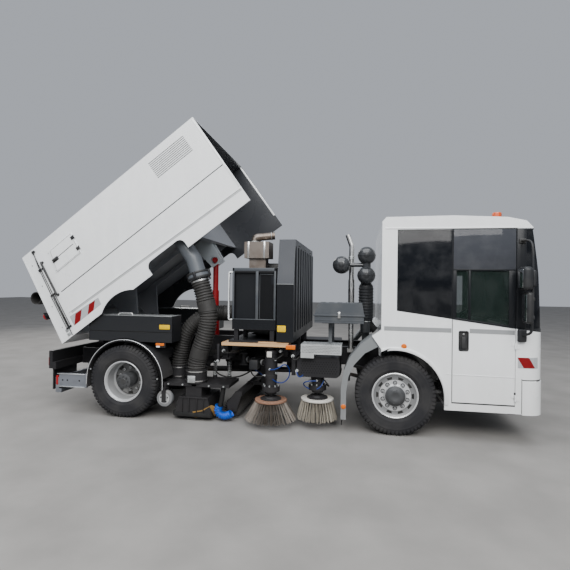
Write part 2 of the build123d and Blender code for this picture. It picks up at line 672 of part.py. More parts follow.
def fan_housing():
    volute = rod((FAN_X, 470, FAN_Z), (FAN_X, 760, FAN_Z), 360)
    foot = box((FAN_X - 150, FAN_X + 150), (480, 740), (1160, FAN_Z))
    duct = box((-2380, -2190), (-560, 620), (1400, 1650))
    shaft = rod((FAN_X, 420, FAN_Z), (FAN_X, 470, FAN_Z), 60)
    return fused([volute, foot, duct, shaft])


def suction_hose():
    """Ribbed hose from the nozzle to the hopper's inlet ring."""
    low = hopper_point(INLET_RING[0] - 0.3 * INLET_AXIS[0], INLET_RING[1] - 0.3 * INLET_AXIS[1])
    before = hopper_point(INLET_RING[0] - 260 * INLET_AXIS[0], INLET_RING[1] - 260 * INLET_AXIS[1])
    points = [(-2830, -1000, 620), (-2830, -1000, 820), (-2630, -1000, 1430), (before[0], -1000, before[1]),
              (low[0], -1000, low[1])]
    return pipe(points, HOSE_RADIUS, 240, HOSE_RADIUS - 12)


def blower_hose():
    points = [
        (-3205, -735, 640), (-3205, -735, 860), (-3110, -735, 1260), (-2820, -700, 1525), (-2620, -440, 1525),
        (-2380.3, -440, 1525),
    ]
    return pipe(points, BLOWER_HOSE_RADIUS, 170, BLOWER_HOSE_RADIUS - 12)


def exhaust_stack():
    y = EXHAUST_Y
    stack = pipe([(-600, y, 1040), (-600, y, 2570), (-660, y, 2740)], 38, 120, 33)
    clamp = rod((-600, y, 2380), (-600, y, 2420), 46, 38)
    foot = box((-650, -562), (y - 40, -RAIL_OUTER_Y), (990, 1040))
    return fused([stack, clamp, foot])


DOMES = ((-742, 2281), (-382, 2418), (-385, 2131))
DOME_Y = -680
DUCT_Y = -580
EXHAUST_Y = -520


def ball(x, y, z, radius):
    low, high = (x, y, z - radius), (x, y, z + radius)
    outline = make_face([Line(low, high), ThreePointArc(high, (x + radius, y, z), low)])
    return revolve(outline, axis=Axis((x, y, z), (0, 0, 1)))


def intake_domes():
    parts = []
    for x, z in DOMES:
        parts.append(ball(x, DOME_Y, z, 130))
    parts.append(rod((-742, DOME_Y, 2281), (-385, DOME_Y, 2281), 30))
    parts.append(rod((-382, DOME_Y, 2418), (-382, DOME_Y, 2131), 60))
    parts.append(rod((-385, DUCT_Y, 1300), (-385, DUCT_Y, 2131), 80))
    parts.append(box((-440, -330), (DUCT_Y, -RAIL_OUTER_Y), (1000, 1400)))
    return fused(parts)


TOOLBOX_X = (-1080, -416)
TOOLBOX_Y = (-1180, -880)


TRAY_TOP = 1560
TRAY_DEPTH = 91
LID_GAP = 0.3
LID_HEIGHT = 180
LID_HINGE_Y = TOOLBOX_Y[1] + 18
LID_HINGE_Z = TRAY_TOP + 8


def toolbox():
    low = TRAY_TOP - TRAY_DEPTH
    tray = box(TOOLBOX_X, TOOLBOX_Y, (low, TRAY_TOP))
    tray -= box(
        (TOOLBOX_X[0] + 12, TOOLBOX_X[1] - 12), (TOOLBOX_Y[0] + 12, TOOLBOX_Y[1] - 12), (low + 12, TRAY_TOP + 1),
    )
    legs = fused([
        box((-900, -850), (-1000, -950), (1170, low)),
        box((-1000, -500), (-900, -860), (low - 29, low)),
        box((-900, -850), (-900, -RAIL_OUTER_Y), (low - 39, low)),
        box((-900, -850), (-RAIL_OUTER_Y - 30, -RAIL_OUTER_Y), (RAIL_TOP, low)),
    ])
    lugs = []
    for x in (-985, -535):
        lugs.append(box((x, x + 20), (TOOLBOX_Y[1], LID_HINGE_Y + 10), (low + 31, LID_HINGE_Z + 10)))
    whole = fused([tray, legs] + lugs)
    whole -= box(
        (TOOLBOX_X[0] - 20, TOOLBOX_X[1] + 20), (TOOLBOX_Y[1], TOOLBOX_Y[1] + 6), (TRAY_TOP - 8, TRAY_TOP + 40),
    )
    return whole - rod((-1100, LID_HINGE_Y, LID_HINGE_Z), (-400, LID_HINGE_Y, LID_HINGE_Z), 8 + RUNNING_GAP)


def toolbox_lid():
    x, y = TOOLBOX_X, TOOLBOX_Y
    base, top = TRAY_TOP + LID_GAP, TRAY_TOP + LID_HEIGHT
    lid = plate_y([(x[0] - 8, base), (x[0] + 55, top), (x[1] - 25, top), (x[1] + 8, base)], y[0] - 8, y[1] + 2)
    inside = [(x[0] + 6, base - 1), (x[0] + 69, top - 12), (x[1] - 39, top - 12), (x[1] - 6, base - 1)]
    lid -= plate_y(inside, y[0] + 4, y[1] - 10)
    lid += box((-760, -730), (y[0] - 20, y[0] - 8), (TRAY_TOP - 20, TRAY_TOP + 60))
    lid += rod((-990, LID_HINGE_Y, LID_HINGE_Z), (-510, LID_HINGE_Y, LID_HINGE_Z), 8)
    for tab in (-900, -620):
        lid += box((tab - 30, tab + 30), (y[1] - 5, LID_HINGE_Y), (LID_HINGE_Z - 4, LID_HINGE_Z + 4))
    return lid


def step_box():
    shape = plate_y(
        [(-1260, 986), (-1260, 1170), (-710, 1170), (-710, 1040), (-1080, 1040), (-1080, 986)], -1200, -900,
    )
    shape += box((-1250, -1090), (-900, -RAIL_OUTER_Y), (1000, 1040))
    return shape


def side_tanks():
    """Perforated silencer on the right, fuel tank and battery box on the left."""
    silencer = box((-1325, -735), (-1110, -560), (710, 985))
    silencer = fillet(silencer.edges().filter_by(Axis.Y), 60)
    strap = box((-1250, -1190), (-560, -RAIL_OUTER_Y), (800, 960))
    tank = box((-1750, -800), (560, 1180), (460, 1010))
    tank = fillet(tank.edges().filter_by(Axis.X), 80)
    for x in (-1470, -1070):
        tank += box((x - 30, x + 30), (RAIL_OUTER_Y, 560), (790, 1000))
    battery = box((-2900, -1850), (600, 1180), (560, 1000)) + box((-2500, -2300), (RAIL_OUTER_Y, 600), (800, 960))
    return [silencer + strap, tank, battery]


def deck_plank():
    return box((-2389, -1442), (-1200, -900), (PLANK_BOTTOM, 1159.7))


def rear_apron():
    plate = box((RAIL_REAR - 120, RAIL_REAR - 60), (-1150, 1150), (660, 930))
    flap_x = (RAIL_REAR - 90, RAIL_REAR - 70)
    return fused([plate] + mirrored(box(flap_x, (560, 1100), (330, 660))))


def underrun():
    x = RAIL_REAR + 23
    section = [(x, 310), (x, 540), (x + 57, 540), (x + 57, 370), (x + 97, 370), (x + 97, 310)]
    bar = plate_y(section, -1180, 1180)
    posts = mirrored(box((x + 27, x + 87), (380, RAIL_OUTER_Y), (540, 650)))
    side = mirrored(box((x + 57, x + 517), (1140, 1180), (400, 600)))
    return fused([bar] + posts + side)


def beacon():
    y = 340 - CAB_HALF_WIDTH
    return rod((1310, y, 2867), (1310, y, 2977), 68)


# Hopper
ARC_CUT = (789, 1405, 100)
PIPE_CUT = (1774, 2446, 180)


def hopper_side_outline():
    return [
        (SEAM_BOTTOM + TAILGATE_GAP, 0), (SEAM_TOP + TAILGATE_GAP, HOPPER_HEIGHT),
        (SIDE_FRONT_TOP, HOPPER_HEIGHT + 20), (HOPPER_LENGTH, 0),
    ]


def hopper_skin():
    half, skin = HOPPER_HALF_WIDTH, HOPPER_SKIN
    side = plate_y(hopper_side_outline(), half - skin, half)
    middle = (ARC_CUT[0] + ARC_CUT[1]) / 2
    half_chord = (ARC_CUT[1] - ARC_CUT[0]) / 2
    arc_radius = (half_chord ** 2 + ARC_CUT[2] ** 2) / (2 * ARC_CUT[2])
    arc_v = ARC_CUT[2] - arc_radius
    side -= rod((middle, half - 100, arc_v), (middle, half + 10, arc_v), arc_radius)
    notch = box((PIPE_CUT[0], PIPE_CUT[1]), (half - 100, half + 10), (-50, PIPE_CUT[2]))
    notch = fillet(notch.edges().filter_by(Axis.Y).group_by(Axis.Z)[-1], 100)
    side -= notch
    side -= box((430, HOPPER_LENGTH + 43), (half - 8, half + 5), (637, 653))
    for row in range(VENT_ROWS):
        v = VENT_TOP - VENT_PITCH * row
        side -= box(VENT_U, (half - 14, half + 5), (v - VENT_PITCH / 2, v))
    front = HOPPER_LENGTH - 13
    side += plate_y([(364, 315), (364, 325), (front, 225), (front, 215)], half, half + 8)
    roof = plate_y(
        [(SEAM_TOP + TAILGATE_GAP, HOPPER_HEIGHT - skin), (SEAM_TOP + TAILGATE_GAP, HOPPER_HEIGHT),
         (SIDE_FRONT_TOP, HOPPER_HEIGHT + 20), (SIDE_FRONT_TOP, HOPPER_HEIGHT + 20 - skin)],
        -half, half,
    )
    u, v = TAILGATE_HINGE
    hinges = []
    for y in TAILGATE_HINGES_Y:
        hinges.append(tailgate_hinge((y - 50, y - 0.3), (u + 6, u + 110)))
        hinges.append(rod((u, y - 20, v), (u, y + 45, v), 8))
    return fused(mirrored(side) + [roof] + hinges + hopper_hatch())


def hopper_hatch():
    """Hatch on the right side with its two hinges and handle, and the grab rail by the tailgate's seam."""
    face = -HOPPER_HALF_WIDTH
    out = face - HATCH_DEPTH
    parts = [plate_y(HATCH, out, face)]
    middle = (HATCH[1][1] + HATCH[2][1]) / 2
    for u, v in ((HATCH[1][0] - 13, middle + 93), (HATCH[2][0] + 5, middle - 92)):
        parts.append(box((u - 30, u + 18), (out - 8, face), (v - 22, v + 22)))
    parts.append(box((HATCH[3][0] + 41, HATCH[3][0] + 121), (out - 24, face), (middle - 17, middle + 8)))
    rail_v = (640, HATCH[0][1] - 71)
    parts.append(pipe(
        [(430, face, rail_v[1]), (430, face - 38, rail_v[1]), (372, face - 38, rail_v[0]), (372, face, rail_v[0])], 9, 20,
    ))
    return parts


def tailgate_hinge(half, leaf_u):
    """One half of a tailgate hinge: half is its pair of Y limits."""
    u, v = TAILGATE_HINGE
    leaf = box(leaf_u, half, (HOPPER_HEIGHT - 5, v - 6))
    return leaf + rod((u, half[0], v), (u, half[1], v), 14)


def hopper_floor():
    inner = HOPPER_HALF_WIDTH - HOPPER_SKIN
    floor = box((300, HOPPER_BULKHEAD_U), (-inner, inner), (HOPPER_FLOOR_V, HOPPER_FLOOR_V + 20))
    bulkhead = plate_y(
        [(HOPPER_BULKHEAD_U, 190), (HOPPER_BULKHEAD_U, HOPPER_HEIGHT - HOPPER_SKIN),
         (HOPPER_BULKHEAD_U + 30, HOPPER_HEIGHT - HOPPER_SKIN), (HOPPER_BULKHEAD_U + 30, 190)],
        -inner, inner,
    )
    beam = box((2150, HOPPER_BULKHEAD_U), (-700, 700), (190, HOPPER_FLOOR_V))
    beam -= box((2170, HOPPER_BULKHEAD_U - 20), (-690, 690), (180, HOPPER_FLOOR_V - 20))
    ears = []
    for side in (-1, 1):
        wall = sorted((side * (PIVOT_Y - 2), side * (PIVOT_Y + 28)))
        ear = plate_y(
            [(HOPPER_PIVOT_U - 75, HOPPER_PIVOT_V - 60), (HOPPER_PIVOT_U - 180, HOPPER_FLOOR_V),
             (HOPPER_PIVOT_U + 400, HOPPER_FLOOR_V), (HOPPER_PIVOT_U + 75, HOPPER_PIVOT_V - 60)], *wall,
        )
        ear -= rod(
            (HOPPER_PIVOT_U, wall[0] - 5, HOPPER_PIVOT_V), (HOPPER_PIVOT_U, wall[1] + 5, HOPPER_PIVOT_V),
            PIVOT_PIN + RUNNING_GAP,
        )
        ears.append(ear)
        eye = plate_y(
            [(LIFT_EYE_U - 100, LIFT_EYE_V - 90), (LIFT_EYE_U - 160, 190), (LIFT_EYE_U - 160, HOPPER_FLOOR_V - 18),
             (LIFT_EYE_U + 130, HOPPER_FLOOR_V - 18), (LIFT_EYE_U + 130, 190), (LIFT_EYE_U + 100, LIFT_EYE_V - 90)],
            *sorted((side * 70, side * 90)),
        )
        eye -= rod((LIFT_EYE_U, -100, LIFT_EYE_V), (LIFT_EYE_U, 100, LIFT_EYE_V), 64)
        ears.append(eye)
        ears.append(box((500, 2150), sorted((side * 345, side * 375)), (300, HOPPER_FLOOR_V)))
    inlet = rod((INLET_U, -1000, HOPPER_FLOOR_V - 10), (INLET_U, -1000, HOPPER_FLOOR_V + 30), 106)
    return fused([floor, bulkhead, beam] + ears) - inlet


def hopper_pipe():
    """Black elbow from the hopper's floor to the hose's clamp ring."""
    u, v = INLET_RING
    du, dv = INLET_AXIS
    bend = (INLET_U, -1000, v + (INLET_U - u) * dv / du)
    elbow = pipe([(u, -1000, v), bend, (bend[0], -1000, HOPPER_FLOOR_V - 0.3)], 118, 200, 106)
    ring = rod((u, -1000, v), (u + 110 * du, -1000, v + 110 * dv), 160, 112)
    return elbow + ring


def tailgate():
    half, skin = HOPPER_HALF_WIDTH, HOPPER_SKIN
    outline = [(0, 0), (TAILGATE_TOP_U, HOPPER_HEIGHT), (SEAM_TOP, HOPPER_HEIGHT), (SEAM_BOTTOM, 0)]
    shape = plate_y(outline, -half, half)
    inner = [
        (skin, skin), (TAILGATE_TOP_U + skin, HOPPER_HEIGHT - skin), (SEAM_TOP + 20, HOPPER_HEIGHT - skin),
        (SEAM_BOTTOM + 20, skin),
    ]
    shape -= plate_y(inner, -half + skin, half - skin)
    u, v = TAILGATE_HINGE
    for y in TAILGATE_HINGES_Y:
        shape += tailgate_hinge((y, y + 50), (u - 110, u))
        shape -= rod((u, y - 1, v), (u, y + 51, v), 8 + RUNNING_GAP)
    return shape


def behind_tailgate(up, off):
    """U and V of a point this far up the tailgate's back and this far off it."""
    length = (TAILGATE_TOP_U ** 2 + HOPPER_HEIGHT ** 2) ** 0.5
    c, s = HOPPER_HEIGHT / length, TAILGATE_TOP_U / length
    return up * s - off * c, up * c + off * s


def wander_hose():
    """Hand hose across the tailgate's back: upper run, bend, lower run and boss, with clamps on studs."""
    places = [(WANDER_ENDS[0], WANDER_RUNS[0]), (WANDER_ENDS[1], WANDER_RUNS[0])]
    places += [(WANDER_ENDS[1], WANDER_RUNS[1]), (WANDER_BOSS_Y, WANDER_RUNS[1])]
    points = []
    for y, up in places:
        u, v = behind_tailgate(up, WANDER_OFF)
        points.append((u, y, v))
    hose = pipe(points, WANDER_RADIUS, WANDER_RUNS[0] - WANDER_RUNS[1] - 210, WANDER_RADIUS - 12)
    parts = [hose]
    for y, up in ((-800, WANDER_RUNS[0]), (400, WANDER_RUNS[0]), (400, WANDER_RUNS[1])):
        u, v = behind_tailgate(up, WANDER_OFF)
        parts.append(rod((u, y - 20, v), (u, y + 20, v), WANDER_RADIUS + 8, WANDER_RADIUS - 1))
        low, high = behind_tailgate(up, 0.3), behind_tailgate(up, WANDER_OFF - WANDER_RADIUS + 5)
        parts.append(rod((low[0], y, low[1]), (high[0], y, high[1]), 40))
    low = behind_tailgate(WANDER_RUNS[1], 0.3)
    high = behind_tailgate(WANDER_RUNS[1], WANDER_OFF + WANDER_RADIUS + 10)
    y = WANDER_BOSS_Y
    parts.append(rod((low[0], y, low[1]), (high[0], y, high[1]), WANDER_RADIUS + 25))
    return fused(parts)


# Two-stage lift cylinder at its tipped length
def lift_parts():
    eye_x, eye_z = hopper_point(LIFT_EYE_U, LIFT_EYE_V)
    base = Vector(LIFT_BASE_X, 0, LIFT_BASE_Z)
    way = Vector(eye_x - LIFT_BASE_X, 0, eye_z - LIFT_BASE_Z)
    length = way.length
    way = way.normalized()
    share = (length - LIFT_TUBE - 60) / 2
    barrel = rod(tuple(base - way * 30), tuple(base + way * LIFT_TUBE), LIFT_RADII[0])
    bore = rod(tuple(base + way * 40), tuple(base + way * (LIFT_TUBE + 10)), LIFT_RADII[1] + 0.5)
    trunnion = rod((LIFT_BASE_X, -120, LIFT_BASE_Z), (LIFT_BASE_X, 120, LIFT_BASE_Z), LIFT_TRUNNION)
    barrel = barrel + trunnion - bore
    stage_low = base + way * (share + 60)
    stage_top = stage_low + way * (LIFT_TUBE - 60)
    stage = rod(tuple(stage_low), tuple(stage_top), LIFT_RADII[1], LIFT_RADII[2] + 0.5)
    rod_low = base + way * (2 * share + 80)
    tip = base + way * length
    ram = rod(tuple(rod_low), tuple(tip - way * 30), LIFT_RADII[2])
    eye = rod((tip.X, -60, tip.Z), (tip.X, 60, tip.Z), 46)
    pin = rod((tip.X, -110, tip.Z), (tip.X, 110, tip.Z), 20)
    return barrel, stage, fused([ram, eye, pin])


# Sweeping gear
GUIDES_X = (-2670, -2440)
GUIDE_Y = -640
GUIDE_RADIUS = 15


def nozzle():
    bar = box((-3262, -2300), (-1110, -600), (490, 535))
    bar += box((-3345, -3060), (-880, -600), (490, 535))
    bar -= rod((-2830, -1000, 480), (-2830, -1000, 550), HOSE_RADIUS - 20)
    bar -= rod((-3205, -735, 480), (-3205, -735, 550), BLOWER_HOSE_RADIUS - 20)
    cuffs = [
        rod((-2830, -1000, 535), (-2830, -1000, 730), HOSE_RADIUS + 16, HOSE_RADIUS + 4),
        rod((-3205, -735, 535), (-3205, -735, 730), BLOWER_HOSE_RADIUS + 16, BLOWER_HOSE_RADIUS + 4),
    ]
    body = plate_y([(-3130, 60), (-3060, 330), (-2620, 330), (-2550, 60)], -1110, -560)
    body -= plate_y([(-3100, 50), (-3040, 300), (-2640, 300), (-2580, 50)], -1090, -580)
    neck = box((-2960, -2720), (-1090, -700), (330, 490))
    fork = box((-3300, -3244), (-1170, -1030), (425, 460)) + box((-3290, -3254), (-1120, -1080), (460, 535))
    sides = [box((-3300, -3244), y, (250, 430)) for y in ((-1170, -1150), (-1050, -1030))]
    axle = rod((-3272, -1170, 300), (-3272, -1030, 300), 12)
    bosses = []
    for x in GUIDES_X:
        bosses.append(rod((x, GUIDE_Y, 455), (x, GUIDE_Y, 575), 32))
    whole = fused([bar] + cuffs + [body, neck, fork, axle] + sides + bosses)
    for x in GUIDES_X:
        whole -= rod((x, GUIDE_Y, 450), (x, GUIDE_Y, 580), GUIDE_RADIUS + RUNNING_GAP)
    return whole


def nozzle_guides():
    """Upright guide rods on the frame that the nozzle rides on."""
    parts = []
    for x in GUIDES_X:
        parts.append(rod((x, GUIDE_Y, 400), (x, GUIDE_Y, 840), GUIDE_RADIUS))
        parts.append(box((x - 30, x + 30), (GUIDE_Y - 25, -RAIL_OUTER_Y), (840, 880)))
    return parts


def caster_wheel():
    wheel = rod((-3272, -1142, 300), (-3272, -1058, 300), 120, 12 + RUNNING_GAP)
    return wheel


SPINDLE = 30


def brush(centre, radii, heights):
    """A rotating side brush: hub plate, ring and a flared cone of bristle tufts."""
    x, y = centre
    ring_radius, tip_radius = radii
    ring_z, low_z = heights
    hub = rod((x, y, ring_z - 20), (x, y, ring_z + 30), ring_radius)
    top_z = ring_z - 20
    section = [(ring_radius - 110, top_z), (ring_radius, top_z), (tip_radius, low_z), (tip_radius - 130, low_z)]
    outline = Polyline(*[(x + radius, y, z) for radius, z in section], close=True)
    bristles = revolve(make_face(outline), axis=Axis((x, y, 0), (0, 0, 1)))
    spindle = rod((x, y, ring_z + 30), (x, y, ring_z + 115), SPINDLE)
    return fused([hub, bristles, spindle])


# Rear side brush on a swinging arm: centre, ring and tip radius, ring and tip height, arm's pivot
REAR_BRUSH = (-1700, -1050)
REAR_BRUSH_RADII = (228, 365)
REAR_BRUSH_Z = (350, 25)
REAR_PIVOT = (-2200, -640)
REAR_ARM_Z = 850
# Front side brush on a sideways slide
FRONT_BRUSH = (-1050, -950)
FRONT_BRUSH_RADII = (228, 270)
FRONT_BRUSH_Z = (380, 50)
FRONT_SLIDE_Z = 620


def brush_motor(centre, ring_z, top):
    """Hydraulic motor with its flange, above a brush."""
    x, y = centre
    motor = rod((x, y, ring_z + 95), (x, y, top), 80) + rod((x, y, ring_z + 130), (x, y, ring_z + 200), 125)
    return motor - rod((x, y, ring_z + 90), (x, y, ring_z + 116), SPINDLE + RUNNING_GAP)


def rear_brush_arm():
    x, y = REAR_PIVOT
    motor = brush_motor(REAR_BRUSH, REAR_BRUSH_Z[0], 1060)
    arm = rod((x, y, REAR_ARM_Z), (*REAR_BRUSH, REAR_ARM_Z), 38)
    boss = rod((x, y, REAR_ARM_Z - 70), (x, y, REAR_ARM_Z + 70), 60)
    shape = fused([motor, arm, boss])
    return shape - rod((x, y, REAR_ARM_Z - 80), (x, y, REAR_ARM_Z + 80), 22 + RUNNING_GAP)


def front_brush_arm():
    x, y = FRONT_BRUSH
    motor = brush_motor(FRONT_BRUSH, FRONT_BRUSH_Z[0], 690)
    bar = box((x - 30, x + 30), (y, -470), (FRONT_SLIDE_Z - 30, FRONT_SLIDE_Z + 30))
    return motor + bar


def brush_carriers():
    """Pin, lugs and slide tube on the frame that carry the two side brushes."""
    x, y = REAR_PIVOT
    pin = rod((x, y, REAR_ARM_Z - 90), (x, y, REAR_ARM_Z + 90), 22)
    lugs = [box((x - 60, x + 60), (y - 60, -RAIL_OUTER_Y), z) for z in (
        (REAR_ARM_Z - 95, REAR_ARM_Z - 76), (REAR_ARM_Z + 76, REAR_ARM_Z + 95))]
    web = box((x - 60, x + 60), (-RAIL_OUTER_Y - 30, -RAIL_OUTER_Y), (REAR_ARM_Z - 95, 1000))
    front = FRONT_BRUSH[0]
    tube = box((front - 45, front + 45), (-700, -430), (FRONT_SLIDE_Z - 45, FRONT_SLIDE_Z + 45))
    tube -= box((front - 30.5, front + 30.5), (-701, -440), (FRONT_SLIDE_Z - 30.5, FRONT_SLIDE_Z + 30.5))
    tube += box((front - 45, front + 45), (-RAIL_OUTER_Y - 40, -RAIL_OUTER_Y), (FRONT_SLIDE_Z + 45, 1000))
    return [fused([pin, web] + lugs), tube]


ROLLER_X = -2300
ROLLER_Z = 160
ROLLER_RADIUS = 140


def roller_brush():
    core = rod((ROLLER_X, -930, ROLLER_Z), (ROLLER_X, 930, ROLLER_Z), ROLLER_RADIUS)
    axle = rod((ROLLER_X, -985, ROLLER_Z), (ROLLER_X, 985, ROLLER_Z), 20)
    return core + axle


def roller_frame():
    parts = []
    for side in (-1, 1):
        wall = sorted((side * 950, side * 970))
        cheek = plate_y([(-2350, 120), (-2380, 240), (-2240, 420), (-2140, 420), (-2230, 120)], *wall)
        cheek -= rod((ROLLER_X, wall[0] - 5, ROLLER_Z), (ROLLER_X, wall[1] + 5, ROLLER_Z), 20 + RUNNING_GAP)
        parts.append(cheek)
    parts.append(box((-2230, -2150), (-970, 970), (350, 420)))
    for side in (-1, 1):
        parts.append(box((-2230, -1980), sorted((side * 300, side * 340)), (380, 430)))
    tube = rod((-1960, -345, 400), (-1960, 345, 400), 40)
    parts.append(tube)
    whole = fused(parts)
    return whole - rod((-1960, -400, 400), (-1960, 400, 400), 20 + RUNNING_GAP)


def roller_carrier():
    parts = [rod((-1960, -352, 400), (-1960, 352, 400), 20)]
    parts.extend(mirrored(box((-2000, -1920), (352, 380), (360, RAIL_BOTTOM))))
    return parts


def rear_lamps():
    return mirrored(box((RAIL_REAR - 150, RAIL_REAR - 120), (880, 1120), (700, 820)))


def build():
    node("chassis_frame", *chassis_frame())
    node("body_subframe", *body_subframe(), *brush_carriers(), *roller_carrier(), *nozzle_guides())
    rear_springs, front_springs = leaf_springs()
    node("front_axle", front_axle(), *front_springs)
    node("rear_axle", *rear_axle(), *rear_springs)
    for side, name in ((-1, "right"), (1, "left")):
        node("knuckle_" + name, knuckle(side))
        node("tyre_front_" + name, tyre(0, side * FRONT_WHEEL_Y))
        node("rim_front_" + name, front_rim(side))
        rear = [tyre(-WHEELBASE, side * y) for y in (REAR_OUTER_Y, REAR_OUTER_Y - TWIN_SPACING)]
        node("tyres_rear_" + name, *rear)
        node("rims_rear_" + name, rear_rim(side))
        node("door_" + name, door(side))
        node("door_glass_" + name, door_glass(side))
    node("tie_rod", tie_rod())
    outer = cab_solid(0)
    node("cab_shell", cab_shell(outer))
    node("cab_glass", *cab_glass(outer))
    node("cab_interior", *cab_interior(), steering_wheel())
    node("cab_seats", *cab_seats())
    node("front_bumper", front_bumper(outer))
    node("mirrors", *mirrored(mirrors_pair()))
    node("mudguards", *fenders(), *rear_mudguards())
    node("side_lockers", *side_lockers())
    node("engine_cowl", engine_cowl())
    node("radiator_cabinet", radiator_cabinet())
    node("aux_engine", aux_engine() + fan_housing())
    node("engine_silencer", engine_silencer())
    node("suction_hose", suction_hose())
    node("blower_hose", blower_hose())
    node("exhaust_stack", exhaust_stack())
    node("intake_domes", intake_domes())
    node("toolbox", toolbox())
    node("toolbox_lid", toolbox_lid())
    node("step_box", step_box())
    node("side_tanks", *side_tanks())
    node("deck_plank", deck_plank())
    node("rear_apron", rear_apron())
    node("underrun_bar", underrun())
    node("beacon", beacon())
    node("rear_lamps", *rear_lamps())
    node("hopper_skin", tipped(hopper_skin()))
    node("hopper_floor", tipped(hopper_floor()))
    node("hopper_pipe", tipped(hopper_pipe()))
    node("tailgate", tipped(tailgate()))
    node("wander_hose", tipped(wander_hose()))
    barrel, stage, ram = lift_parts()
    node("lift_barrel", barrel)
    node("lift_stage", stage)
    node("lift_rod", ram)
    node("suction_nozzle", nozzle())
    node("caster_wheel", caster_wheel())
    node("brush_arm_rear", rear_brush_arm())
    node("side_brush_rear", brush(REAR_BRUSH, REAR_BRUSH_RADII, REAR_BRUSH_Z))
    node("brush_arm_front", front_brush_arm())
    node("side_brush_front", brush(FRONT_BRUSH, FRONT_BRUSH_RADII, FRONT_BRUSH_Z))
    node("roller_frame", roller_frame())
    node("roller_brush", roller_brush())


def shift():
    """The way from the ground under the front axle to the middle of the truck's base."""
    whole = Compound(list(NODES.values())).bounding_box()
    return Vector(-(whole.min.X + whole.max.X) / 2, -(whole.min.Y + whole.max.Y) / 2, -whole.min.Z)


build()
SHIFT = shift()
os.makedirs("parts", exist_ok=True)
for name, shape in NODES.items():
    export_step(Pos(*SHIFT) * shape, f"parts/{name}.step")
print("shift", tuple(round(value, 3) for value in SHIFT), "nodes", len(NODES))
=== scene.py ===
import json
from math import atan2, cos, pi, radians, sin, sqrt
from random import Random

import bpy
from bpy.props import FloatProperty, FloatVectorProperty, PointerProperty
from mathutils import Matrix, Vector


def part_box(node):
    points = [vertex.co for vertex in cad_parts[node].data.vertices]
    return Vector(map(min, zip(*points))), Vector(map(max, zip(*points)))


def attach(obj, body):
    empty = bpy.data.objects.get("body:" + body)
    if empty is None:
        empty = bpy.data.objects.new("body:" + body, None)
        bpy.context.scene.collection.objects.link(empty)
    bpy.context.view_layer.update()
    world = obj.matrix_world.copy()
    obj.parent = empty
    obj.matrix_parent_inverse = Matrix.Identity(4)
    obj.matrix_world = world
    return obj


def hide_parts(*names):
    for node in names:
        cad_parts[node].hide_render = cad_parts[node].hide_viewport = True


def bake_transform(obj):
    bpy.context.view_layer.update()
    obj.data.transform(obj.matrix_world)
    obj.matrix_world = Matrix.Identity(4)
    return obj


bl_info = {
    "name": "Street sweeper dressing",
    "version": (1, 0, 0),
    "blender": (4, 5, 0),
    "location": "View3D > Sidebar > Sweeper",
    "description": "Adds tyres, hoses, brushes, lamps, trim and finishes to the packed street sweeper",
    "category": "Object",
}

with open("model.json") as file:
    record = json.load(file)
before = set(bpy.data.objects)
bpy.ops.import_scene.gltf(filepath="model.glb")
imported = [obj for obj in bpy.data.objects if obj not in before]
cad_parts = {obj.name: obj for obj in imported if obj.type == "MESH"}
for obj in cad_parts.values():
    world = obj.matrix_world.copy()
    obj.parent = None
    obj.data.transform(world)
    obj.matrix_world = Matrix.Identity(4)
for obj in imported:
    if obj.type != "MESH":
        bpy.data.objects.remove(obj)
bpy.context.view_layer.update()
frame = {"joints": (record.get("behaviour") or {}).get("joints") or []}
JOINTS = {joint["name"]: joint for joint in frame["joints"]}

# The ground under the front axle, from which the places below are written
TYRE_LOW, TYRE_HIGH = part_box("tyre_front_right")
AXLE_X = (TYRE_LOW.x + TYRE_HIGH.x) / 2
WHEEL_Z = (TYRE_LOW.z + TYRE_HIGH.z) / 2
TYRE_RADIUS = WHEEL_Z

# Directions on the truck
AHEAD = (1, 0, 0)
LEFT = (0, 1, 0)
RIGHT = (0, -1, 0)
UP = (0, 0, 1)

# Each side's name, and 1 or -1 along Y
SIDES = (("right", -1), ("left", 1))

# The hopper's own frame: U forward and V up from the skirt's rear corner, turned about the tipping hinge
TIP = radians(36)
PIVOT_U = 0.719
PIVOT_V = -0.101
PIVOT = Vector(JOINTS["hopper_tip"]["pos_m"])
HOPPER_SIDE = 1.25


def at(x, y, z):
    """A place on the truck, measured from the ground under the front axle."""
    return Vector((AXLE_X + x, y, z))


def on_hopper(u, v, y):
    """A place on the hopper, given in its own frame."""
    du, dv = u - PIVOT_U, v - PIVOT_V
    return Vector((PIVOT.x + du * cos(TIP) - dv * sin(TIP), y, PIVOT.z + du * sin(TIP) + dv * cos(TIP)))


# Small tools that each piece is made with


def deselect():
    if bpy.context.object and bpy.context.object.mode != "OBJECT":
        bpy.ops.object.mode_set(mode="OBJECT")
    bpy.ops.object.select_all(action="DESELECT")


def choose(piece):
    deselect()
    piece.select_set(True)
    bpy.context.view_layer.objects.active = piece
    return piece


def settle(piece, name):
    """Names a piece and puts its place into its mesh."""
    piece.name = name
    choose(piece)
    bpy.ops.object.transform_apply(location=True, rotation=True, scale=True)
    return piece


def modify(piece, kind, **values):
    """Adds a modifier and applies it."""
    choose(piece)
    modifier = piece.modifiers.new(kind.lower(), kind)
    for key, value in values.items():
        setattr(modifier, key, value)
    bpy.ops.object.modifier_apply(modifier=modifier.name)
    return piece


def edit(piece, action):
    """Runs one action on the whole of a piece in edit mode."""
    choose(piece)
    bpy.ops.object.mode_set(mode="EDIT")
    bpy.ops.mesh.select_all(action="SELECT")
    action()
    bpy.ops.object.mode_set(mode="OBJECT")
    return piece


def outward(piece):
    """Merges doubles and turns every face outwards."""
    def clean():
        bpy.ops.mesh.remove_doubles(threshold=0.00005)
        bpy.ops.mesh.normals_make_consistent(inside=False)

    return edit(piece, clean)


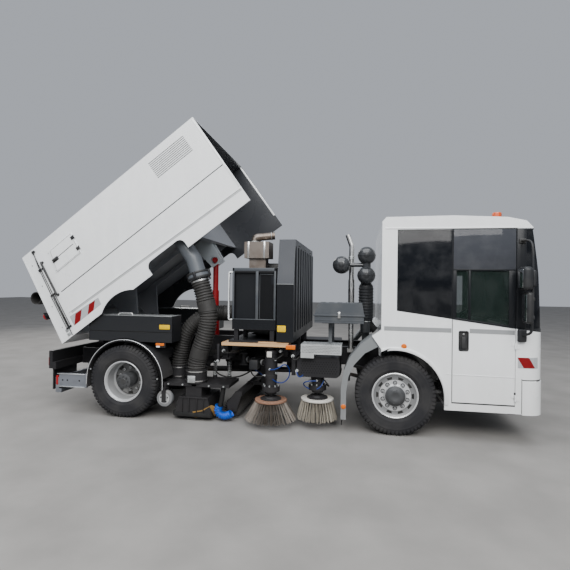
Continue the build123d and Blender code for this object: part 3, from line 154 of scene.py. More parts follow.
def smooth(piece, angle=35):
    choose(piece)
    bpy.ops.object.shade_smooth_by_angle(angle=radians(angle))
    return piece


def block(name, low, high, bevel=0.0, segments=2):
    """A block between two corners, with its edges rounded."""
    low, high = Vector(low), Vector(high)
    deselect()
    bpy.ops.mesh.primitive_cube_add(size=1, location=(low + high) / 2)
    piece = bpy.context.object
    piece.scale = high - low
    settle(piece, name)
    if bevel:
        modify(piece, "BEVEL", width=bevel, segments=segments, limit_method="NONE")
        smooth(piece)
    return piece


def drum(name, start, end, radius, end_radius=None, sides=32, bevel=0.0):
    """A round bar or cone between two points."""
    start, end = Vector(start), Vector(end)
    way = end - start
    deselect()
    bpy.ops.mesh.primitive_cone_add(vertices=sides, radius1=radius,
        radius2=radius if end_radius is None else end_radius, depth=way.length, location=(start + end) / 2,
        rotation=way.to_track_quat("Z", "Y").to_euler())
    piece = settle(bpy.context.object, name)
    if bevel:
        modify(piece, "BEVEL", width=bevel, segments=2, limit_method="ANGLE")
    return smooth(piece)


def ring(name, centre, axis, major, minor, sides=48, tube_sides=12):
    deselect()
    bpy.ops.mesh.primitive_torus_add(major_radius=major, minor_radius=minor, major_segments=sides,
        minor_segments=tube_sides, location=centre,
        rotation=Vector(axis).to_track_quat("Z", "Y").to_euler())
    return smooth(settle(bpy.context.object, name))


def line_of(name, points):
    """A chain of edges through points, drawn from one corner by extruding it from place to place."""
    points = [Vector(point) for point in points]
    deselect()
    bpy.ops.mesh.primitive_plane_add(size=0.001, location=points[0])
    piece = bpy.context.object
    piece.name = name
    bpy.ops.object.transform_apply(location=True, rotation=True, scale=True)
    bpy.ops.object.mode_set(mode="EDIT")
    bpy.ops.mesh.merge(type="CENTER")
    for last, point in zip(points, points[1:]):
        bpy.ops.mesh.extrude_vertices_move(TRANSFORM_OT_translate={"value": point - last})
    bpy.ops.mesh.select_all(action="SELECT")
    return piece


def turned(name, profile, centre, axis, sides=48):
    """A round piece: its half section, as (along the axis, radius) pairs, is spun about the axis."""
    axis = Vector(axis).normalized()
    side = axis.orthogonal().normalized()
    centre = Vector(centre)
    piece = line_of(name, [centre + axis * along + side * radius for along, radius in profile])
    bpy.ops.mesh.spin(steps=sides, angle=2 * pi, center=centre, axis=axis)
    bpy.ops.object.mode_set(mode="OBJECT")
    return smooth(outward(piece))


def band(low, high, inner, outer):
    """The closed half section of a plain ring, for turned."""
    return [(low, inner), (low, outer), (high, outer), (high, inner), (low, inner)]


def plate(name, outline, depth, bevel=0.0, segments=2):
    """A flat plate: its outline is filled and extruded by the vector depth."""
    piece = line_of(name, outline)
    bpy.ops.mesh.edge_face_add()
    bpy.ops.mesh.extrude_region_move(TRANSFORM_OT_translate={"value": Vector(depth)})
    bpy.ops.object.mode_set(mode="OBJECT")
    outward(piece)
    if bevel:
        modify(piece, "BEVEL", width=bevel, segments=segments, limit_method="ANGLE",
            angle_limit=radians(30))
    return smooth(piece)


def curve(points, radius=0.0, resolution=6, order=3):
    """A NURBS line through a bend's control points, with a round section if it has a radius."""
    deselect()
    bpy.ops.curve.primitive_nurbs_path_add()
    line = bpy.context.object
    data = line.data
    data.splines.clear()
    spline = data.splines.new("NURBS")
    spline.points.add(len(points) - 1)
    for point, place in zip(spline.points, points):
        point.co = (*place, 1)
    spline.order_u = order
    spline.use_endpoint_u = True
    data.dimensions = "3D"
    data.twist_mode = "MINIMUM"
    data.resolution_u = resolution
    data.bevel_depth = radius
    data.bevel_resolution = 3
    data.use_fill_caps = True
    line.location = (0, 0, 0)
    return line


def tube(name, points, radius, resolution=6, order=3):
    """A bent round bar or hose along control points."""
    choose(curve(points, radius, resolution, order))
    bpy.ops.object.convert(target="MESH")
    piece = settle(bpy.context.object, name)
    return smooth(outward(piece), 60)


def copy_of(piece, matrix=None):
    twin = piece.copy()
    twin.data = piece.data.copy()
    bpy.context.scene.collection.objects.link(twin)
    if matrix is not None:
        twin.data.transform(matrix)
        if matrix.determinant() < 0:
            twin.data.flip_normals()
    return twin


def joined(name, pieces):
    deselect()
    for piece in pieces:
        piece.select_set(True)
    bpy.context.view_layer.objects.active = pieces[0]
    if len(pieces) > 1:
        bpy.ops.object.join()
    piece = bpy.context.view_layer.objects.active
    piece.name = name
    return piece


def around(name, piece, count, centre, axis, first=0.0):
    """Copies of a piece set evenly round an axis, joined into one."""
    copies = []
    for step in range(count):
        turn = Matrix.Rotation(first + 2 * pi * step / count, 4, Vector(axis))
        copies.append(copy_of(piece, Matrix.Translation(centre) @ turn
            @ Matrix.Translation(-Vector(centre))))
    bpy.data.objects.remove(piece)
    return joined(name, copies)


def along(name, piece, steps):
    """Copies of a piece, one at each of the given moves, joined into one."""
    copies = [copy_of(piece, Matrix.Translation(Vector(step))) for step in steps]
    bpy.data.objects.remove(piece)
    return joined(name, copies)


def with_mirror(piece):
    """The piece together with its copy on the other side of the truck."""
    twin = copy_of(piece, Matrix.Scale(-1, 4, LEFT))
    return joined(piece.name, [piece, twin])


def tipped(piece):
    """Moves a piece from the hopper's own frame, drawn as X = U and Z = V, to its place on the truck."""
    corner = on_hopper(0, 0, 0)
    piece.data.transform(Matrix.Translation(corner) @ Matrix.Rotation(-TIP, 4, "Y"))
    return piece


def dress(piece, key):
    """Gives a piece one finish all over."""
    piece.data.materials.clear()
    piece.data.materials.append(FINISHES[key])
    return piece


def finish(piece, key, body="truck"):
    """Gives a piece its finish and its body."""
    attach(dress(piece, key), body)
    return piece


def finish_pair(piece, key, body="truck"):
    """Finishes a piece together with its copy on the other side of the truck."""
    return finish(with_mirror(piece), key, body)


# Finishes


class Mixture:
    """A material in the making: its nodes, its links and its main shader."""

    def __init__(self, name, values=None):
        self.material = bpy.data.materials.new(name)
        self.material.use_nodes = True
        self.nodes = self.material.node_tree.nodes
        self.links = self.material.node_tree.links
        self.shader = self.nodes["Principled BSDF"]
        self.fill(self.shader, values or {})

    def fill(self, node, values):
        """Sets a node's inputs, or links them where the value is another node's output."""
        for key, value in values.items():
            if isinstance(value, bpy.types.NodeSocket):
                self.links.new(value, node.inputs[key])
            else:
                node.inputs[key].default_value = value
        return node

    def node(self, kind, values, **settings):
        node = self.nodes.new("ShaderNode" + kind)
        for key, value in settings.items():
            setattr(node, key, value)
        return self.fill(node, values)

    def place(self):
        """The piece's own coordinates."""
        return self.nodes.new("ShaderNodeTexCoord").outputs["Object"]

    def noise(self, scale, detail=4.0, stretch=(1, 1, 1)):
        mapping = self.node("Mapping", {"Vector": self.place(), "Scale": stretch})
        texture = self.node("TexNoise", {"Vector": mapping.outputs["Vector"], "Scale": scale,
            "Detail": detail})
        return texture.outputs["Fac"]

    def blend(self, factor, first, second, low=0.35, high=0.65):
        """A colour that goes from first to second as a texture's value goes from low to high."""
        ramp = self.node("ValToRGB", {"Fac": factor})
        for element, position, colour in zip(ramp.color_ramp.elements, (low, high), (first, second)):
            element.position = position
            element.color = (*colour, 1)
        return ramp.outputs["Color"]

    def combine(self, first, second, operation="MULTIPLY"):
        return self.node("Math", {0: first, 1: second}, operation=operation).outputs["Value"]

    def within(self, bounds):
        """1 where the piece's own coordinates, measured along each direction, lie between low and high."""
        place = self.place()
        result = 1.0
        for direction, low, high in bounds:
            measure = self.node("VectorMath", {0: place, 1: direction},
                operation="DOT_PRODUCT").outputs["Value"]
            for operation, limit in (("GREATER_THAN", low), ("LESS_THAN", high)):
                result = self.combine(result, self.combine(measure, limit, operation))
        return result

    def over(self, factor, first, second):
        """The colour first, covered by second where factor says so."""
        return self.node("Mix", {"B": (*second, 1), "Factor": factor, "A": first},
            data_type="RGBA").outputs["Result"]

    def colour(self, socket):
        self.links.new(socket, self.shader.inputs["Base Color"])

    def rough(self, factor, low, high):
        """Roughness that goes from low to high with a texture's value."""
        spread = self.node("MapRange", {"To Min": low, "To Max": high, "Value": factor})
        self.links.new(spread.outputs["Result"], self.shader.inputs["Roughness"])

    def bump(self, height, strength, distance):
        bump = self.node("Bump", {"Strength": strength, "Distance": distance, "Height": height})
        self.links.new(bump.outputs["Normal"], self.shader.inputs["Normal"])


def paint(name, colour, dirt, roughness=0.25, coat=0.6, metallic=0.0, grime=0.35, zones=(), specular=0.5):
    """Gloss paint with road dust low down and orange peel; zones are other colours and their bounds."""
    made = Mixture(name, {"Metallic": metallic, "Specular IOR Level": specular, "Coat Weight": coat,
        "Coat Roughness": 0.08})
    cloud = made.noise(2.2, 6.0)
    streak = made.noise(9.0, 5.0, (1, 1, 0.25))
    mixed = made.blend(streak, colour, tuple(c * 0.93 for c in colour), 0.3, 0.8)
    for other, bounds in zones:
        mixed = made.over(made.within(bounds), mixed, other)
    height = made.node("SeparateXYZ", {"Vector": made.place()}).outputs["Z"]
    low_down = made.node("MapRange", {"From Min": 1.15, "From Max": 0.25, "To Max": grime, "Value": height})
    made.colour(made.over(made.combine(low_down.outputs["Result"], cloud), mixed, dirt))
    made.rough(cloud, roughness * 0.8, roughness * 1.5)
    made.bump(made.noise(160.0, 2.0), 0.05, 0.002)
    return made.material


def metal(name, colour, rough, stretch=(1, 1, 1), grain=60.0, stain=(0.3, 0.27, 0.24)):
    """Bare metal with fine grain and dull stains."""
    made = Mixture(name, {"Metallic": 1.0})
    made.colour(made.blend(made.noise(5.0, 6.0), colour, stain, 0.5, 0.85))
    brushed = made.noise(grain, 4.0, stretch)
    made.rough(brushed, rough * 0.7, rough * 1.4)
    made.bump(brushed, 0.12, 0.001)
    return made.material


def grained(name, colour, dust, rough=0.6, scale=220.0, depth=0.25, amount=(0.45, 0.85), specular=0.4):
    """Moulded plastic or rubber with a fine grain and pale dust."""
    made = Mixture(name, {"Specular IOR Level": specular})
    dusty = made.noise(3.5, 8.0)
    made.colour(made.blend(dusty, colour, dust, *amount))
    made.rough(dusty, rough * 0.85, rough * 1.2)
    made.bump(made.noise(scale, 3.0), depth, 0.0015)
    return made.material


def lamp(name, colour, glow=0.0, gloss=0.8):
    """Clear coloured lens with fine facets inside, or a film with less gloss."""
    made = Mixture(name, {"Roughness": 0.52 - 0.5 * gloss, "Coat Weight": gloss,
        "Specular IOR Level": 0.2 + 0.3 * gloss, "Emission Color": (*colour, 1), "Emission Strength": glow})
    facets = made.node("TexVoronoi", {"Scale": 90.0, "Vector": made.place()}).outputs["Distance"]
    made.colour(made.blend(facets, colour, tuple(min(1, c * 1.25) for c in colour), 0.1, 0.6))
    made.bump(facets, 0.25, 0.002)
    return made.material


def window(name, tint, alpha):
    """Window glass with a tint and a thin film of dust."""
    made = Mixture(name, {"Alpha": alpha, "Specular IOR Level": 0.16})
    film = made.noise(6.0, 8.0)
    made.colour(made.blend(film, tint, tuple(c + 0.02 for c in tint), 0.4, 0.8))
    made.rough(film, 0.03, 0.09)
    return made.material


def wood(name):
    """Weathered softwood board: long grain with darker rings."""
    made = Mixture(name, {"Roughness": 0.75})
    mapping = made.node("Mapping", {"Vector": made.place(), "Scale": (0.25, 2, 2)})
    wave = made.node("TexWave", {"Scale": 7.0, "Distortion": 3.5, "Detail": 4.0,
        "Vector": mapping.outputs["Vector"]}, wave_type="BANDS", bands_direction="Y").outputs["Fac"]
    made.colour(made.blend(wave, (0.32, 0.17, 0.075), (0.52, 0.32, 0.16), 0.2, 0.9))
    made.bump(wave, 0.3, 0.002)
    return made.material


def woven(name, colour, light):
    """Seat cloth: a checked weave of two threads."""
    made = Mixture(name, {"Roughness": 0.9, "Sheen Weight": 0.3})
    place = made.place()
    threads = [made.node("TexWave", {"Scale": 90.0, "Distortion": 0.6, "Vector": place},
        bands_direction=direction) for direction in ("X", "Z")]
    weave = made.combine(threads[0].outputs["Fac"], threads[1].outputs["Fac"])
    made.colour(made.blend(weave, colour, light, 0.1, 0.7))
    made.bump(weave, 0.4, 0.0015)
    return made.material


# Each finish's material, which make_finishes fills in, and the colours that more than one line uses
FINISHES = {}
TRIM_GREY = (0.075, 0.08, 0.088)
GLASS_BLACK = (0.01, 0.011, 0.013)
HOPPER_GREY = (0.2, 0.21, 0.23)
SHEET_BLUE = (0.022, 0.026, 0.034)
# Painted shade on the hopper's inner faces
INSIDE_SHADE = (0.028, 0.03, 0.034)

# The cab's glazed band, between its sill's slanted line and the roof, and the room inside the cab
SILL_SLOPE = 0.134
SILL = 1.657
GLAZED = ((SILL_SLOPE, 0, 1), SILL + SILL_SLOPE * AXLE_X, 9)
BAND_TOP = (UP, 0, 2.718)


def cab_zones():
    inside = [(AHEAD, AXLE_X - 0.155, AXLE_X + 1.445), (LEFT, -1.205, 1.205), (UP, 0.44, 2.852)]
    band = [GLAZED, BAND_TOP, (AHEAD, AXLE_X + 0.004, AXLE_X + 1.9)]
    return [(TRIM_GREY, inside), (GLASS_BLACK, band)]


def door_zones():
    return [(TRIM_GREY, [(LEFT, -1.204, 1.204)]), (GLASS_BLACK, [GLAZED, BAND_TOP])]


def hopper_zones():
    """Painted shade inside: the inner faces between the side walls and under the roof are dark, measured up
    from the hopper's skirt.
    """
    rise = 0.0063
    up = (-sin(TIP) - rise * cos(TIP), 0, cos(TIP) - rise * sin(TIP))
    base = Vector(up).dot(on_hopper(0, 0, 0))
    return [(INSIDE_SHADE, [(LEFT, -1.235, 1.235), (up, -9, base + 1.434)])]


def eye_plate_bounds():
    """Round the plates that the lift's eye turns in, under the hopper's floor."""
    ahead = (cos(TIP), 0, sin(TIP))
    up = (-sin(TIP), 0, cos(TIP))
    low, high = on_hopper(2.19, -0.2, 0), on_hopper(2.52, 0.33, 0)
    return [(LEFT, -0.12, 0.12), (ahead, Vector(ahead).dot(low), Vector(ahead).dot(high)),
        (up, Vector(up).dot(low), Vector(up).dot(high))]


def make_finishes():
    colours = bpy.context.scene.sweeper_colours
    dust = (0.36, 0.32, 0.27)
    white = tuple(colours.body_white)
    FINISHES.update({
        "white": paint("white_enamel", white, dust, 0.22, 0.7),
        "cab_white": paint("cab_enamel", white, dust, 0.22, 0.7, zones=cab_zones()),
        "door_white": paint("door_enamel", white, dust, 0.22, 0.7, zones=door_zones()),
        "hopper_white": paint("hopper_enamel", white, dust, 0.24, 0.6, zones=hopper_zones()),
        "black": paint("chassis_black", (0.013, 0.013, 0.015), (0.09, 0.08, 0.07), 0.45, 0.05,
            grime=0.22, specular=0.25),
        "gloss_black": paint(
            "cowl_black", (0.009, 0.01, 0.012), (0.08, 0.07, 0.06), 0.3, 0.03, grime=0.2, specular=0.2,
            zones=[(SHEET_BLUE, [(UP, 1.99, 9), (AHEAD, AXLE_X - 1.7, AXLE_X - 1.366)])]),
        "anthracite": paint(
            "anthracite", HOPPER_GREY, (0.16, 0.15, 0.14), 0.45, 0.1, specular=0.35,
            zones=[((0.36, 0.39, 0.41), eye_plate_bounds())]),
        "dome": paint("dome_grey", (0.03, 0.032, 0.035), (0.06, 0.058, 0.055), 0.2, 0.35, grime=0.0,
            specular=0.4),
        "pipe_grey": paint("pipe_grey", (0.085, 0.095, 0.108), (0.1, 0.095, 0.09), 0.42, 0.1, grime=0.2),
        "fold_shade": paint("fold_shade", (0.44, 0.45, 0.455), dust, 0.3, 0.4),
        "fender": paint(
            "fender_grey", (0.17, 0.18, 0.185), dust, 0.5, 0.05, grime=0.2, specular=0.3,
            zones=[((0.022, 0.023, 0.026), [(AHEAD, -9, AXLE_X - 2)])]),
        "locker": paint("locker_grey", (0.012, 0.013, 0.015), (0.09, 0.08, 0.07), 0.34, 0.2, grime=0.2,
            specular=0.35),
        # Rim silver; on the rear rims everything within 0.975 m of the middle, the deep disc and inner
        # barrel, is darker grey: painted shade and dirt
        "silver": paint(
            "wheel_silver", tuple(colours.wheel_silver), (0.3, 0.27, 0.23), 0.35, 0.3, 0.55,
            zones=[((0.1, 0.105, 0.11), [(AHEAD, -9, AXLE_X - 2), (LEFT, -0.975, 0.975)])]),
        "dull_silver": paint("dull_silver", (0.2, 0.205, 0.21), (0.16, 0.14, 0.12), 0.42, 0.1, 0.4),
        "bright_silver": paint("bright_silver", (0.74, 0.75, 0.76), (0.4, 0.37, 0.33), 0.24, 0.4, 0.6,
            grime=0.15),
        "hub": paint("hub_grey", (0.055, 0.058, 0.062), (0.12, 0.11, 0.1), 0.5, 0.0, 0.3, specular=0.3),
        "cast": metal("cast_iron", (0.1, 0.1, 0.1), 0.6, grain=40.0, stain=(0.16, 0.11, 0.08)),
        "engine": paint("engine_grey", (0.13, 0.13, 0.125), (0.2, 0.15, 0.11), 0.55, 0.0, 0.3),
        "heat_shield": metal("heat_shield", (0.2, 0.175, 0.155), 0.45, grain=30.0, stain=(0.1, 0.07, 0.05)),
        "steel": metal("polished_steel", (0.66, 0.66, 0.65), 0.28, (1, 1, 0.1), 90.0),
        "zinc": metal("zinc_plate", (0.58, 0.6, 0.6), 0.5, grain=18.0, stain=(0.42, 0.43, 0.42)),
        "chrome": metal("chrome_rod", (0.8, 0.8, 0.8), 0.1, (1, 1, 0.1), 120.0, (0.6, 0.6, 0.6)),
        "tyre": grained("tyre_rubber", (0.017, 0.017, 0.019), (0.052, 0.05, 0.048), 0.8, 120.0, 0.3,
            (0.4, 0.9), 0.25),
        "hose": grained("hose_rubber", tuple(colours.hose_black), (0.075, 0.072, 0.068), 0.55, 150.0,
            0.2, (0.45, 0.95), 0.3),
        "rubber": grained("black_rubber", (0.012, 0.012, 0.012), (0.045, 0.042, 0.038), 0.7, 200.0, 0.2,
            specular=0.25),
        "plastic": grained("black_plastic", (0.016, 0.017, 0.019), (0.045, 0.043, 0.04), 0.45, 300.0,
            0.25, specular=0.3),
        "grey_plastic": grained("toolbox_grey", (0.048, 0.054, 0.062), (0.085, 0.088, 0.09), 0.5, 260.0,
            0.3, specular=0.35),
        "trim": grained("cab_trim", (0.075, 0.08, 0.088), (0.1, 0.105, 0.11), 0.7, 320.0, 0.25),
        "mesh": paint("radiator_mesh", (0.008, 0.008, 0.009), (0.03, 0.028, 0.025), 0.6, 0.0, grime=0.1,
            specular=0.2),
        "red_paint": paint("red_paint", (0.3, 0.006, 0.01), (0.2, 0.1, 0.08), 0.3, 0.5),
        "stripe": paint("grey_stripe", (0.25, 0.26, 0.265), dust, 0.4, 0.2),
        "red_film": lamp("red_film", (0.15, 0.001, 0.003), gloss=0.1),
        "silver_film": lamp("silver_film", (0.3, 0.31, 0.32), gloss=0.3),
        "yellow_film": lamp("yellow_film", (0.52, 0.33, 0), gloss=0.0),
        "amber": lamp("amber_lens", (0.48, 0.1, 0.001), 0.02, 0.3),
        "beacon": lamp("beacon_lens", (0.42, 0.055, 0.004), 0.02, 0.4),
        "red_lens": lamp("red_lens", (0.24, 0.002, 0.004), 0.03, 0.4),
        "clear_lens": lamp("clear_lens", (0.8, 0.82, 0.84)),
        "mirror": metal("mirror_glass", (0.85, 0.87, 0.88), 0.03, grain=4.0, stain=(0.8, 0.82, 0.83)),
        "dark_glass": window("privacy_glass", (0.006, 0.007, 0.009), 0.94),
        "glass": window("cab_glass", (0.018, 0.03, 0.026), 0.32),
        "band_glass": window("door_band_glass", (0.045, 0.048, 0.056), 0.92),
        "clear_glass": window("clear_cover", (0.62, 0.66, 0.68), 0.18),
        "board": wood("plank_wood"),
        "cloth": woven("seat_cloth", (0.018, 0.02, 0.026), (0.075, 0.08, 0.095)),
        "bristle_steel": metal("steel_bristle", (0.23, 0.205, 0.18), 0.55, (1, 1, 0.1), 60.0,
            (0.14, 0.12, 0.1)),
        "bristle_dark": grained("dark_bristle", (0.022, 0.02, 0.018), (0.05, 0.045, 0.04), 0.7, 120.0, 0.2),
        "bristle_pale": grained("pale_bristle", (0.34, 0.31, 0.25), (0.14, 0.12, 0.1), 0.7, 120.0, 0.2,
            (0.3, 0.7)),
        "brush_wood": paint("brush_ring_brown", (0.23, 0.115, 0.07), (0.16, 0.11, 0.08), 0.6, 0.0),
        "brush_white": paint("brush_ring_pale", (0.62, 0.6, 0.55), (0.24, 0.21, 0.18), 0.6, 0.0),
        "brass": metal("brass_fitting", (0.75, 0.56, 0.26), 0.3, grain=40.0, stain=(0.5, 0.36, 0.18)),
        "blue": grained("blue_hose", (0.003, 0.024, 0.17), (0.02, 0.05, 0.16), 0.4, 150.0, 0.1),
        "bright_blue": grained("spiral_hose_blue", (0.006, 0.085, 0.5), (0.02, 0.08, 0.3), 0.35, 150.0, 0.1),
        "galvanised": metal("galvanised_bar", (0.34, 0.36, 0.4), 0.5, grain=14.0, stain=(0.26, 0.27, 0.29)),
        "ochre": grained("ochre_rubber", (0.25, 0.14, 0.03), (0.15, 0.1, 0.05), 0.6, 150.0, 0.2),
        "grey_rubber": grained("grey_rubber", (0.16, 0.165, 0.17), (0.22, 0.21, 0.2), 0.65, 150.0, 0.2),
    })


# The solids of the frame that each finish is given to
SOLIDS = {
    "black": ("chassis_frame", "body_subframe", "radiator_cabinet", "side_tanks", "rear_apron",
        "suction_nozzle", "brush_arm_rear", "brush_arm_front", "roller_frame"),
    "cast": ("front_axle", "rear_axle", "knuckle_right", "knuckle_left", "tie_rod"),
    "cab_white": ("cab_shell",),
    "dark_glass": ("cab_glass",),
    "trim": ("cab_interior",),
    "white": ("front_bumper", "tailgate"),
    "plastic": ("mirrors",),
    "fender": ("mudguards",),
    "locker": ("side_lockers",),
    "gloss_black": ("engine_cowl",),
    "engine": ("aux_engine",),
    "heat_shield": ("engine_silencer",),
    "steel": ("exhaust_stack",),
    "dome": ("intake_domes",),
    "grey_plastic": ("toolbox", "toolbox_lid", "caster_wheel"),
    "zinc": ("step_box",),
    "board": ("deck_plank",),
    "galvanised": ("underrun_bar",),
    "beacon": ("beacon",),
    "red_lens": ("rear_lamps",),
    "door_white": ("door_right", "door_left"),
    "glass": ("door_glass_right", "door_glass_left"),
    "hopper_white": ("hopper_skin",),
    "anthracite": ("hopper_floor",),
    "pipe_grey": ("hopper_pipe",),
    "red_paint": ("lift_barrel", "lift_stage", "lift_rod"),
    "tyre": ("tyre_front_right", "tyre_front_left", "tyres_rear_right", "tyres_rear_left"),
    "silver": ("rim_front_right", "rim_front_left", "rims_rear_right", "rims_rear_left"),
    "bristle_steel": ("side_brush_rear",),
    "bristle_pale": ("side_brush_front",),
    "bristle_dark": ("roller_brush",),
    "hose": ("suction_hose", "blower_hose", "wander_hose"),
    "cloth": ("cab_seats",),
}


class SWEEPER_OT_finishes(bpy.types.Operator):
    """Makes the finishes and gives one to every solid of the frame"""

    bl_idname = "sweeper.finishes"
    bl_label = "Finishes"

    def execute(self, context):
        make_finishes()
        for key, nodes in SOLIDS.items():
            for node in nodes:
                dress(bpy.data.objects[node], key)
        return {"FINISHED"}


# Wheels

TREAD_BASE = TYRE_RADIUS - 0.014
BLOCKS = 60
HALF_TYRE = 0.156
NUT_CIRCLE = 0.168
REAR_RIM_PLANE = 1.06
LIP_RADIUS = 0.2935
LIP_THICKNESS = 0.0062

# Sections of the tread's blocks and of half a tyre, as (offset from the tyre's middle, radius) pairs
CENTRE_BLOCK = [(-0.024, 0.508), (-0.026, 0.5275), (0.026, 0.5275), (0.024, 0.508)]
SHOULDER_BLOCK = [(0.094, 0.505), (0.094, 0.527), (0.127, 0.5255), (0.143, 0.512), (0.152, 0.488),
    (0.1535, 0.466), (0.138, 0.47)]
CARCASS = [(0.1175, 0.291), (0.1175, 0.303), (0.128, 0.309), (0.133, 0.322), (0.146, 0.336), (0.152, 0.352),
    (0.151, 0.356), (0.1555, 0.374), (0.157, 0.41), (0.155, 0.44), (0.156, 0.443), (0.155, 0.447),
    (0.15, 0.468), (0.14, 0.495), (0.122, 0.512), (0.06, 0.5165)]


def tread_block(name, section, wide):
    """One block of rubber at the top of a wheel whose hub is at the origin."""
    outline = [(-wide / 2, offset, radius) for offset, radius in section]
    return plate(name, outline, (wide, 0, 0), 0.003, 1)


def make_tyre(name):
    """A tyre round the origin: carcass with moulded rings on its walls, and five rows of tread blocks."""
    section = [(-offset, radius) for offset, radius in CARCASS] + [(0, TREAD_BASE + 0.003)]
    section += CARCASS[::-1]
    section.append(section[0])
    parts = [turned(name, section, (0, 0, 0), LEFT, 72)]
    pitch = 2 * pi / BLOCKS
    for row, offset in enumerate((-0.06, 0, 0.06)):
        block_row = tread_block("centre_block", [(y + offset, r) for y, r in CENTRE_BLOCK], 0.047)
        parts.append(around("centre_row", block_row, BLOCKS, (0, 0, 0), LEFT, pitch * (row % 2) / 2))
    shoulder = tread_block("shoulder_block", SHOULDER_BLOCK, 0.036)
    row = around("shoulder_row", shoulder, BLOCKS, (0, 0, 0), LEFT)
    other = copy_of(row, Matrix.Rotation(pitch / 2, 4, "Y") @ Matrix.Scale(-1, 4, LEFT))
    other.name = "shoulder_row_inner"
    return joined(name, parts + [row, other])


def node_middle(node):
    low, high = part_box(node)
    return (low + high) / 2


class SWEEPER_OT_tyres(bpy.types.Operator):
    """Builds the treaded tyres that stand for the plain ones"""

    bl_idname = "sweeper.tyres"
    bl_label = "Tyres"

    def execute(self, context):
        pattern = make_tyre("tyre_pattern")
        for side, sign in SIDES:
            front = copy_of(pattern, Matrix.Translation(node_middle("tyre_front_" + side)))
            front.name = "front_tyre_" + side
            finish(front, "tyre", "wheel_front_" + side)
            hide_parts("tyre_front_" + side)
            low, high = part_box("tyres_rear_" + side)
            spread = (high.y - low.y) / 2 - HALF_TYRE
            twins = [copy_of(pattern, Matrix.Translation((low + high) / 2 + Vector((0, place, 0))))
                for place in (-spread, spread)]
            for place, twin in zip(("inner", "outer"), twins if sign > 0 else reversed(twins)):
                twin.name = f"rear_tyre_{place}_{side}"
                finish(twin, "tyre", "wheels_rear_" + side)
            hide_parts("tyres_rear_" + side)
        bpy.data.objects.remove(pattern)
        return {"FINISHED"}


def wheel_nuts(name, centre, side, offset, circle, count, size):
    """A ring of hexagon nuts with washers and stud ends."""
    centre = Vector(centre)
    out = Vector((0, side, 0))
    seat = centre + out * offset + Vector((0, 0, circle))
    nut = joined(name, [
        drum("nut_washer", seat, seat + out * 0.004, size * 0.56, sides=16),
        drum("nut_hexagon", seat + out * 0.004, seat + out * 0.022, size * 0.52, sides=6, bevel=0.001),
        drum("nut_stud", seat + out * 0.022, seat + out * 0.034, size * 0.32, size * 0.28, sides=10),
    ])
    return around(name, nut, count, centre, LEFT)


class SWEEPER_OT_wheel_hubs(bpy.types.Operator):
    """Adds hub caps and wheel nuts to the rims"""

    bl_idname = "sweeper.wheel_hubs"
    bl_label = "Wheel hubs"

    def execute(self, context):
        for side, sign in SIDES:
            hub = node_middle("tyre_front_" + side)
            out = (0, sign, 0)
            finish(turned("front_hub_cap_" + side, [(0.15, 0.132), (0.166, 0.13), (0.17, 0.118),
                (0.186, 0.104), (0.196, 0.086), (0.199, 0.05), (0.196, 0.044), (0.198, 0)], hub, out, 48),
                "hub", "wheel_front_" + side)
            finish(wheel_nuts("front_wheel_nuts_" + side, hub, sign, 0.112, NUT_CIRCLE, 10, 0.032),
                "dull_silver", "wheel_front_" + side)
            hub = node_middle("tyres_rear_" + side)
            outer = REAR_RIM_PLANE - abs(hub.y)
            finish(turned("rear_hub_" + side, [(outer - 0.1, 0.1145), (outer + 0.03, 0.1145),
                (outer + 0.036, 0.111), (outer + 0.113, 0.11), (outer + 0.12, 0.09), (outer + 0.1235, 0.06),
                (outer + 0.1245, 0)], hub, out, 48), "hub", "wheels_rear_" + side)
            finish(wheel_nuts("rear_wheel_nuts_" + side, hub, sign, outer - 0.1, NUT_CIRCLE, 10, 0.032),
                "hub", "wheels_rear_" + side)
            finish(wheel_nuts("rear_hub_bolts_" + side, hub, sign, outer + 0.118, 0.074, 8, 0.016), "hub",
                "wheels_rear_" + side)
        return {"FINISHED"}


# Hoses

CUFF_LENGTH = 0.15


def line_length(line):
    """The length of a NURBS line, read from the line itself."""
    graph = bpy.context.evaluated_depsgraph_get()
    mesh = bpy.data.meshes.new_from_object(line.evaluated_get(graph))
    total = sum((mesh.vertices[e.vertices[0]].co - mesh.vertices[e.vertices[1]].co).length
        for e in mesh.edges)
    bpy.data.meshes.remove(mesh)
    return total


def ribbed_profile(length, radius, pitch, depth, cuffs, wall):
    """Half section of a hose along its length: ribs, broken by smooth cuffs, and the bore inside."""
    points = [(0, radius - wall), (0, radius - depth / 2)]
    place = pitch / 2
    while place < length - pitch / 2:
        cuff = next((c for c in cuffs if c - CUFF_LENGTH / 2 < place < c + CUFF_LENGTH / 2), None)
        if cuff is None:
            points += [(place - pitch * 0.32, radius - depth), (place - pitch * 0.2, radius - depth * 0.15),
                (place, radius), (place + pitch * 0.2, radius - depth * 0.15),
                (place + pitch * 0.32, radius - depth)]
            place += pitch
        else:
            points += [(cuff - CUFF_LENGTH / 2, radius), (cuff + CUFF_LENGTH / 2, radius)]
            place = cuff + CUFF_LENGTH / 2 + pitch / 2
    return points + [(length, radius - depth / 2), (length, radius - wall)]


def ribbed_hose(name, points, radius, cuffs=(), pitch=0.04, depth=0.015, wall=0.02, sides=36):
    """A ribbed hose that follows a NURBS line through its bends' control points."""
    line = curve(points, resolution=16)
    length = line_length(line)
    places = [share * length for share in cuffs]
    piece = turned(name, ribbed_profile(length, radius, pitch, depth, places, wall), (0, 0, 0), AHEAD,
        sides)
    modify(piece, "CURVE", object=line, deform_axis="POS_X")
    bpy.data.objects.remove(line)
    return smooth(outward(piece), 30)


# The ring under the hopper where the suction hose ends, and the way up through it, in U and V
HOSE_RING = (2.25, -0.41)
HOSE_RING_AXIS = (0.316, 0.949)


def below_ring(distance):
    """A place this far below the ring on its axis."""
    return on_hopper(HOSE_RING[0] - distance * HOSE_RING_AXIS[0],
        HOSE_RING[1] - distance * HOSE_RING_AXIS[1], -1)


